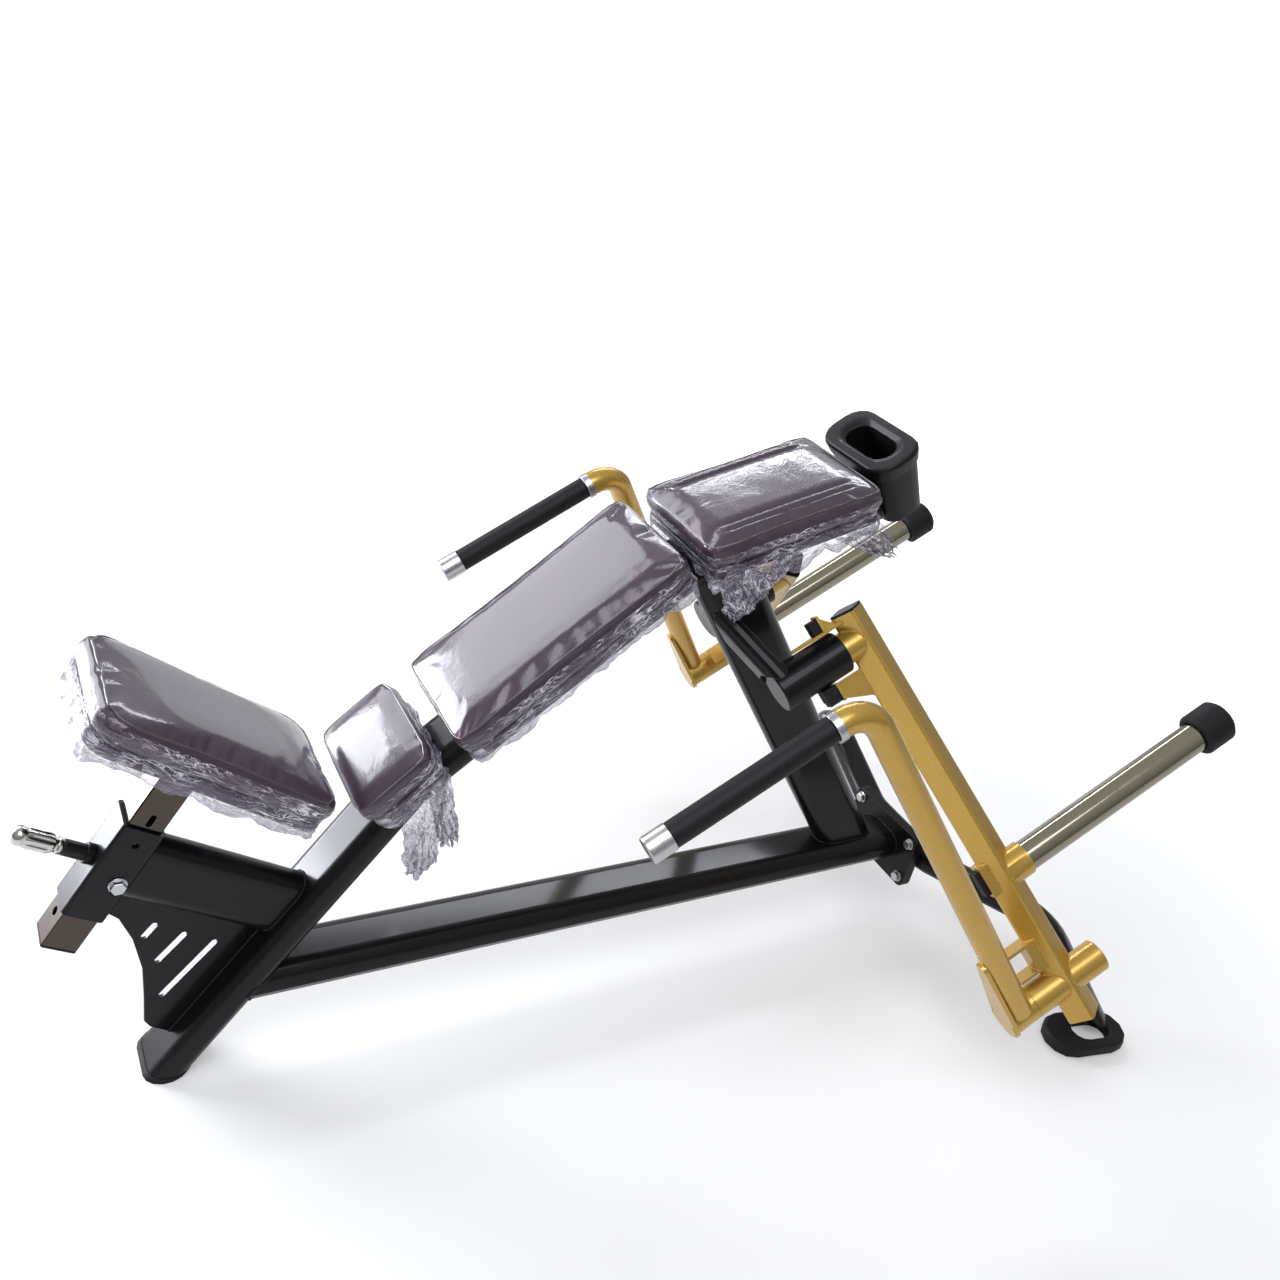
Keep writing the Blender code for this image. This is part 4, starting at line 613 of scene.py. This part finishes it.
def stuffed(pad):
    """The pad's form, drawn in and blown up again by cloth under pressure, with its base held."""
    shell = solid_copy(pad)
    bmesh.ops.triangulate(shell, faces=shell.faces)
    shell.normal_update()
    for v in shell.verts:
        v.co -= v.normal * shrink
    mesh = bpy.data.meshes.new(pad + "_form")
    shell.to_mesh(mesh)
    shell.free()
    item = link(pad + "_cushion", mesh)
    skin = item.modifiers.new("skin", "REMESH")
    skin.mode = "VOXEL"
    skin.voxel_size = voxel
    settle(item)
    local = pad_coordinates(item.data, pad)
    held = item.vertex_groups.new(name="held")
    floor_line = local[:, 2].min() + held_rim
    held.add([int(i) for i in np.nonzero(local[:, 2] < floor_line)[0]], 1.0, "REPLACE")
    rest = local.copy()
    cloth = item.modifiers.new("stuffing", "CLOTH")
    cloth.settings.use_pressure = True
    cloth.settings.uniform_pressure_force = 2.0
    cloth.settings.bending_stiffness = 8.0
    cloth.settings.effector_weights.gravity = 0.0
    cloth.settings.vertex_group_mass = "held"
    cloth.settings.quality = 4
    cloth.collision_settings.use_collision = False
    for step in range(1, blow_steps + 1):
        bpy.context.scene.frame_set(step)
    settle(item)
    bpy.context.scene.frame_set(1)
    moved = pad_coordinates(item.data, pad)
    travel = moved - rest
    length = np.linalg.norm(travel, axis=1, keepdims=True)
    travel *= np.minimum(1.0, swell_cap / np.maximum(length, 1e-9))
    item.data.vertices.foreach_set("co", from_pad(rest + travel, pad).ravel())
    return item


channel_rows, channel_wide, channel_deep = (0.068, 0.082), 0.0028, 0.0030
roll_row, roll_wide, roll_high = 0.075, 0.0048, 0.0012
channel_inset, channel_fade, top_share = 0.030, 0.02, 0.45


def channel_ends(a, long):
    """1 along a sewn channel, fading to 0 at its two ends."""
    return (np.clip((a - channel_inset) / channel_fade, 0, 1)
            * np.clip((long - channel_inset - a) / channel_fade, 0, 1))


def sewn(item, pad):
    """One subdivision, and the head pad's two pairs of sewn channels pressed in."""
    _, _, long, _, high = pad_facts[pad]
    finer = item.modifiers.new("finer", "SUBSURF")
    finer.levels = finer.render_levels = 1
    settle(item)
    local = pad_coordinates(item.data, pad)
    roof = local[:, 2] > -high * top_share
    a, y = local[:, 0], local[:, 1]
    if pad == "head_pad":
        for side in (-1, 1):
            for row in channel_rows:
                groove = np.exp(-((y - side * row) / channel_wide) ** 2)
                local[:, 2] -= roof * groove * channel_ends(a, long) * channel_deep
            roll = np.exp(-((y - side * roll_row) / roll_wide) ** 2)
            local[:, 2] += roof * roll * channel_ends(a, long) * roll_high
    item.data.vertices.foreach_set("co", from_pad(local, pad).ravel())
    item.data.shade_smooth()
    return item


def rounded_outline(long, wide, radius, inset, spacing, corner_steps=8):
    """Evenly spaced (along, across) points round a pad's outline, their outward normals, and its length."""
    reach, half, turn = long - inset, wide / 2 - inset, radius - inset
    corners = ((inset + turn, -half + turn, pi), (reach - turn, -half + turn, 1.5 * pi),
               (reach - turn, half - turn, 0.0), (inset + turn, half - turn, 0.5 * pi))
    spots = []
    for x, y, start in corners:
        for k in range(corner_steps + 1):
            angle = start + pi / 2 * k / corner_steps
            spots.append((x + turn * cos(angle), y + turn * sin(angle)))
    closed = np.array(spots + spots[:1])
    steps = np.hypot(*np.diff(closed, axis=0).T)
    run = np.concatenate([[0], np.cumsum(steps)])
    count = int(run[-1] / spacing)
    at = np.linspace(0, run[-1], count, endpoint=False)
    line = np.stack([np.interp(at, run, closed[:, 0]), np.interp(at, run, closed[:, 1])], axis=1)
    ahead = np.roll(line, -1, axis=0) - np.roll(line, 1, axis=0)
    ahead /= np.linalg.norm(ahead, axis=1, keepdims=True)
    return line, np.stack([ahead[:, 1], -ahead[:, 0]], axis=1), run[-1]


def ring_mesh(name, pad, line, normal, profile):
    """A closed band round a pad: profile holds (outward, up) pairs, once round the band's section."""
    count, rows = len(line), len(profile)
    local = np.zeros((count, rows, 3))
    for k, (outward, up) in enumerate(profile):
        local[:, k, :2] = line + normal * outward
        local[:, k, 2] = up
    faces = [(i * rows + k, ((i + 1) % count) * rows + k, ((i + 1) % count) * rows + (k + 1) % rows,
              i * rows + (k + 1) % rows) for i in range(count) for k in range(rows)]
    mesh = bpy.data.meshes.new(name)
    mesh.from_pydata([tuple(p) for p in from_pad(local.reshape(-1, 3), pad)], [], faces)
    shell = bmesh.new()
    shell.from_mesh(mesh)
    bmesh.ops.recalc_face_normals(shell, faces=shell.faces)
    shell.to_mesh(mesh)
    shell.free()
    mesh.shade_smooth()
    return mesh


pad_corner = {"back_pad": 0.016, "head_pad": 0.016, "lumbar_pad": 0.016, "seat_pad": 0.034}
edge_inset, edge_spacing, edge_clear = 0.0035, 0.006, 0.0002
welt_radius, welt_spacing, welt_below, welt_proud, outside = 0.0016, 0.004, 0.006, 0.0002, 0.03


def wrapped(pad):
    """Vinyl drawn down over the board's edge and turned in under it."""
    _, _, long, wide, high = pad_facts[pad]
    line, normal, _ = rounded_outline(long, wide, pad_corner[pad], edge_inset, edge_spacing)
    low = -high - board_deep
    inner = edge_inset - board_set_back - edge_clear
    profile = [(inner, -high + 0.002), (-0.002, -high + 0.003), (0.0002, -high - 0.001),
               (0.0006, -high - 0.005), (0.0002, low + 0.002), (-0.0015, low - 0.0002),
               (-0.004, low - 0.0012), (-0.011, low - 0.0011), (-0.0112, low - 0.0003),
               (inner, low - 0.0003)]
    item = link(pad + "_turned_edge", ring_mesh(pad + "_turned_edge", pad, line, normal, profile))
    stand_in(item, vinyl, "leather", body=body_of[pad])


def piped(pad, cushion):
    """The welt between the top panel and the side panel, a thin corded seam."""
    _, _, long, wide, _ = pad_facts[pad]
    line, normal, _ = rounded_outline(long, wide, pad_corner[pad], 0.0, welt_spacing)
    shell = bmesh.new()
    shell.from_mesh(cushion.data)
    tree = BVHTree.FromBMesh(shell)
    _, along, _ = pad_axes(pad)
    spots = []
    for (a, y), (na, ny) in zip(line, normal):
        out = along * na + Vector((0, ny, 0))
        far = Vector(from_pad(np.array([[a, y, -welt_below]]), pad)[0]) + out * outside
        hit, face_out, _, _ = tree.ray_cast(far, -out)
        spots.append(hit + face_out * welt_proud if hit else far - out * outside)
    shell.free()
    curve = bpy.data.curves.new(pad + "_welt", "CURVE")
    curve.dimensions = "3D"
    curve.bevel_depth = welt_radius
    curve.bevel_resolution = 2
    spline = curve.splines.new("POLY")
    spline.points.add(len(spots) - 1)
    spline.use_cyclic_u = True
    for point, spot in zip(spline.points, spots):
        point.co = (*spot, 1)
    rope = link(pad + "_welt_line", curve)
    view = bpy.context.evaluated_depsgraph_get()
    mesh = bpy.data.meshes.new_from_object(rope.evaluated_get(view))
    bpy.data.objects.remove(rope)
    mesh.shade_smooth()
    stand_in(link(pad + "_welt", mesh), vinyl, "leather", body=body_of[pad])


cushions = {}
for pad in pad_facts:
    cushions[pad] = sewn(stuffed(pad), pad)
    stand_in(cushions[pad], vinyl, "leather", pad)
    piped(pad, cushions[pad])
    wrapped(pad)


# Staples: crowns of plated wire, shot through the turned-in vinyl into the board's underside a
# finger's width apart.
staple_inset, staple_below = 0.0110, 0.0016
staple_tree, source, result = geometry_tree("staple_row", [
    ("Pitch", "Float", 0.018), ("Crown", "Float", 0.010), ("Wire", "Float", 0.0009),
    ("Finish", "Material", None)])
line = add(staple_tree, "GeometryNodeResampleCurve", {"mode": "LENGTH"}, Curve=source.outputs["Geometry"],
           Length=source.outputs["Pitch"])
crown = add(staple_tree, "ShaderNodeCombineXYZ", None, X=source.outputs["Wire"], Y=source.outputs["Wire"],
            Z=source.outputs["Crown"])
wire = add(staple_tree, "GeometryNodeMeshCube", None, Size=crown.outputs[0])
tangent = add(staple_tree, "GeometryNodeInputTangent")
turned = add(staple_tree, "FunctionNodeAlignRotationToVector", {"axis": "Z"}, Vector=tangent.outputs[0])
row = add(staple_tree, "GeometryNodeInstanceOnPoints", None, Points=line.outputs[0],
          Instance=wire.outputs[0], Rotation=turned.outputs[0])
real = add(staple_tree, "GeometryNodeRealizeInstances", None, Geometry=row.outputs[0])
plain = add(staple_tree, "GeometryNodeSetMaterial", None, Geometry=real.outputs[0],
            Material=source.outputs["Finish"])
staple_tree.links.new(plain.outputs[0], result.inputs[0])
staple_rows = {}
for pad, (_, _, long, wide, high) in pad_facts.items():
    line, _, _ = rounded_outline(long, wide, pad_corner[pad], staple_inset, edge_spacing)
    local = np.column_stack([line, np.full(len(line), -high - board_deep - staple_below)])
    points = [Vector(p) for p in from_pad(local, pad)]
    staple_rows.setdefault(body_of[pad], []).append(points + points[:1])
for body, rows in staple_rows.items():
    along_lines("staples_" + body, rows, staple_tree, {"Pitch": 0.018}, zinc, body)


# Shrink film: thin clear packing film pulled round each pad, tucked under its board and torn off
# below. Film creases along its pull, so fine lines run round the pad, painted near white as painted
# highlights on the creases, and it clouds where it is bunched, in a darker grey that is painted shade in its
# folds.
clear_film, tree, shader = new_material("clear_polythene_stretch_film")
cloth = add(tree, "TexCoord").outputs["UV"]
bunch = add(tree, "Attribute", {"attribute_name": "bunch"}).outputs["Fac"]


def creases(along_pull, across_pull, line_wide, distortion):
    """Thin lines where a drawn-out noise crosses its middle value: 1 on the line, 0 beside it.

    The first two numbers are folds per metre of film. The noise is given back as well.
    """
    drawn = add(tree, "Mapping", None, Vector=cloth, Scale=(along_pull, across_pull, 1.0))
    ripple = add(tree, "TexNoise", None, Vector=drawn.outputs[0], Scale=1.0, Detail=3.0, Roughness=0.6,
                 Distortion=distortion)
    off_line = add(tree, "Math", {"operation": "ABSOLUTE"},
                   _0=add(tree, "Math", {"operation": "SUBTRACT"}, _0=ripple.outputs[0], _1=0.5).outputs[0])
    mark = add(tree, "MapRange", None, Value=off_line.outputs[0], From_Min=0.0, From_Max=line_wide,
               To_Min=1.0, To_Max=0.0)
    return mark.outputs[0], ripple.outputs[0]


broad_line, broad_fold = creases(along_pull=13.0, across_pull=60.0, line_wide=0.030, distortion=0.8)
fine_line, _ = creases(along_pull=34.0, across_pull=150.0, line_wide=0.040, distortion=1.2)
cross_line, _ = creases(along_pull=70.0, across_pull=46.0, line_wide=0.020, distortion=2.0)
fine_share, bunch_haze, fold_high = 0.75, 0.32, 0.003
spread_out = add(tree, "Mapping", None, Vector=cloth, Scale=(11.0, 16.0, 1.0))
patches = add(tree, "TexNoise", None, Vector=spread_out.outputs[0], Scale=1.0, Detail=2.0).outputs[0]
busy = add(tree, "MapRange", None, Value=patches, From_Min=0.40, From_Max=0.56, To_Min=0.25,
           To_Max=1.0).outputs[0]
some_cross = add(tree, "Math", {"operation": "MULTIPLY"}, _0=cross_line, _1=bunch)
pair = add(tree, "Math", {"operation": "MAXIMUM"}, _0=broad_line,
           _1=add(tree, "Math", {"operation": "MULTIPLY"}, _0=fine_line, _1=fine_share).outputs[0])
painted_glint_lines = add(tree, "Math", {"operation": "MAXIMUM"}, _0=pair.outputs[0], _1=some_cross.outputs[0])
painted_glint_lines = add(tree, "Math", {"operation": "MULTIPLY"}, _0=painted_glint_lines.outputs[0], _1=busy).outputs[0]
veil = add(tree, "MapRange", None, Value=patches, From_Min=0.35, From_Max=0.65, To_Min=0.04,
           To_Max=0.13).outputs[0]
layers = add(tree, "Math", {"operation": "MULTIPLY_ADD"}, _0=bunch, _1=bunch_haze, _2=veil)
alpha = add(tree, "Math", {"operation": "ADD", "use_clamp": True}, _0=layers.outputs[0], _1=painted_glint_lines)
# Painted light: near white on the crease lines is a painted highlight, and the darker grey-lavender between
# them is painted shade in the folds.
tone = add(tree, "Mix", {"data_type": "RGBA"}, Factor=painted_glint_lines, _6=linear("#857B94"), _7=linear("#FAF8FC"))
bump = add(tree, "Bump", None, Strength=0.7, Distance=fold_high, Height=broad_fold)
tree.links.new(tone.outputs[2], shader.inputs["Base Color"])
tree.links.new(alpha.outputs[0], shader.inputs["Alpha"])
tree.links.new(bump.outputs[0], shader.inputs["Normal"])
shader.inputs["Roughness"].default_value = 0.16
shader.inputs["Specular IOR Level"].default_value = 0.8

film_thick, film_grid, film_rows, film_gap = 0.0002, 0.0026, 34, 0.0010
film_top = {"back_pad": 0.30, "head_pad": 0.40, "lumbar_pad": 0.35, "seat_pad": 0.26}  # share of height
film_below = {"back_pad": 0.012, "head_pad": 0.024, "lumbar_pad": 0.014, "seat_pad": 0.016}
tears_per_metre, pulls_per_metre, pleats_per_metre = 17, 22, 48
hug_share, tuck_share, tuck_in = 0.35, 0.62, 0.020     # of the way down: leaves the pad, turns under
torn_least, torn_more, touch_share = 0.45, 1.5, 0.85
stand_off, pleat_high, pull_high, slide_along, slide_down = 0.0025, 0.0050, 0.0022, 0.005, 0.004


def film_mesh(name, spots, laid, bunching, closed):
    """A grid of film.

    spots[i][k] is a place in metres, laid(i, k) where it was on the flat film, and bunching[i][k]
    runs from 0, smooth, to 1.
    """
    count, rows = len(spots), len(spots[0])
    turns = count if closed else count - 1
    faces, flat = [], []
    for i in range(turns):
        here, ahead = i * rows, (i + 1) % count * rows
        for k in range(rows - 1):
            faces.append((here + k, ahead + k, ahead + k + 1, here + k + 1))
            flat += [(i, k), (i + 1, k), (i + 1, k + 1), (i, k + 1)]
    mesh = bpy.data.meshes.new(name)
    mesh.from_pydata([tuple(p) for column in spots for p in column], [], faces)
    layer = mesh.uv_layers.new(name="laid_flat")
    for corner, (i, k) in zip(layer.data, flat):
        corner.uv = laid(i, k)
    heaped = mesh.attributes.new("bunch", "FLOAT", "POINT")
    heaped.data.foreach_set("value", [b for column in bunching for b in column])
    mesh.shade_smooth()
    return mesh


def hung(mesh, pad):
    item = link(mesh.name, mesh)
    wall = item.modifiers.new("film", "SOLIDIFY")
    wall.thickness = film_thick
    settle(item)
    stand_in(item, clear_film, None, body=body_of[pad])


def gathered(pad, seed):
    """Film that hugs the pad's side, is tucked in under the board and ends in a torn, crumpled edge."""
    _, _, long, wide, high = pad_facts[pad]
    line, normal, round_long = rounded_outline(long, wide, pad_corner[pad], 0.0, film_grid)
    shell = bmesh.new()
    shell.from_mesh(cushions[pad].data)
    tree = BVHTree.FromBMesh(shell)
    _, along, _ = pad_axes(pad)
    count, rows = len(line), film_rows
    local = np.zeros((count, rows, 3))
    heap = np.zeros((count, rows))
    starts = high * film_top[pad]
    for i in range(count):
        x, y = line[i]
        ragged = noise.noise(Vector((x * tears_per_metre, y * tears_per_metre, seed + 1)))
        torn = torn_least + torn_more * abs(ragged)
        outward = along * normal[i][0] + Vector((0, normal[i][1], 0))
        gap = -0.004
        for k in range(rows):
            t = k / (rows - 1)
            loose = max(0.0, t - hug_share) / (1 - hug_share)
            pull = noise.fractal(Vector((x * pulls_per_metre, y * pulls_per_metre, t * 5.0 + seed)),
                                 0.9, 2.0, 3)
            pleat = noise.fractal(Vector((x * pleats_per_metre, y * pleats_per_metre, t * 1.6 + seed + 7)),
                                  0.7, 2.2, 2)
            drop = starts + t * (high - starts + board_deep + film_below[pad] * torn)
            if drop < high * touch_share:
                nominal = Vector(from_pad(np.array([[x, y, -drop]]), pad)[0])
                hit = tree.ray_cast(nominal + outward * 0.02, -outward)[0]
                gap = (hit - nominal).dot(outward) if hit else gap
            out = (gap * (1 - loose) + film_gap + loose * (stand_off + pleat_high * pleat)
                   + pull * pull_high * (0.25 + loose))
            out -= tuck_in * max(0.0, t - tuck_share)
            local[i, k, :2] = line[i] + normal[i] * out
            local[i, k, 0] += pull * slide_along * loose
            local[i, k, 2] = -drop + pull * slide_down * loose
            heap[i, k] = loose * (0.35 + 0.65 * min(1.0, torn))
    shell.free()
    spots = from_pad(local.reshape(-1, 3), pad).reshape(count, rows, 3)
    deep = (high - starts) + board_deep + film_below[pad]

    def laid(i, k):
        return i / count * round_long, k / (rows - 1) * deep

    mesh = film_mesh(pad + "_film", spots, laid, heap, True)
    hung(mesh, pad)


for seed, pad in enumerate(pad_facts):
    gathered(pad, 4.7 * seed)


def loose_end(name, pad, reach, tip, tip_wide, seed, side=-1):
    """Film that hangs from a stretch of the pad's lower edge, its reach, to its tip, the lowest (x, z)."""
    start, along, up = pad_axes(pad)
    _, _, _, wide, high = pad_facts[pad]
    count, rows, out = 72, 40, side * (wide / 2 + film_gap)
    spots, heap = [], []
    for i in range(count):
        s = i / (count - 1)
        edge = start + along * (reach[0] + (reach[1] - reach[0]) * s) - up * (high + board_deep * 0.6)
        low = Vector((tip[0] + (s - 0.5) * tip_wide, 0, tip[1]))
        torn = 1 - 0.40 * abs(noise.noise(Vector((s * 5, seed, 3)))) - 0.6 * abs(s - 0.5) ** 2
        column, heaped = [], []
        for k in range(rows):
            t = k / (rows - 1) * torn
            spot = edge.lerp(low, t ** 0.92)
            pleat = noise.fractal(Vector((s * 11, t * 1.5, seed)), 0.8, 2.2, 3)
            crush = noise.fractal(Vector((s * 8, t * 8, seed + 5)), 0.7, 2.1, 4)
            spot.y = out + side * (0.002 + t * 0.004) + (0.0015 + 0.0065 * sin(pi * min(1, t * 0.9))) * pleat
            spot.y += crush * 0.006
            spot.x += noise.fractal(Vector((s * 7, t * 7, seed + 23)), 0.7, 2.1, 3) * 0.008 * t
            spot.z += noise.noise(Vector((s * 13, t * 8, seed + 11))) * 0.006 * t
            column.append(spot)
            heaped.append(0.45 + 0.55 * t)
        spots.append(column)
        heap.append(heaped)

    def laid(i, k):
        return spots[i][k].z * 1.9, spots[i][k].x * 0.55 + spots[i][k].z * 0.2

    mesh = film_mesh(name, spots, laid, heap, False)
    hung(mesh, pad)


loose_end("head_film_front_end", "head_pad", (0.004, 0.150), (0.777, 0.774), tip_wide=0.030, seed=2.0)
loose_end("head_film_back_end", "head_pad", (0.205, 0.292), (1.050, 0.866), tip_wide=0.040, seed=8.0)
loose_end("lumbar_film_end", "lumbar_pad", (0.040, 0.126), (0.338, 0.372), tip_wide=0.044, seed=14.0)
loose_end("lumbar_film_side_end", "lumbar_pad", (0.085, 0.128), (0.384, 0.418), tip_wide=0.032, seed=19.0)
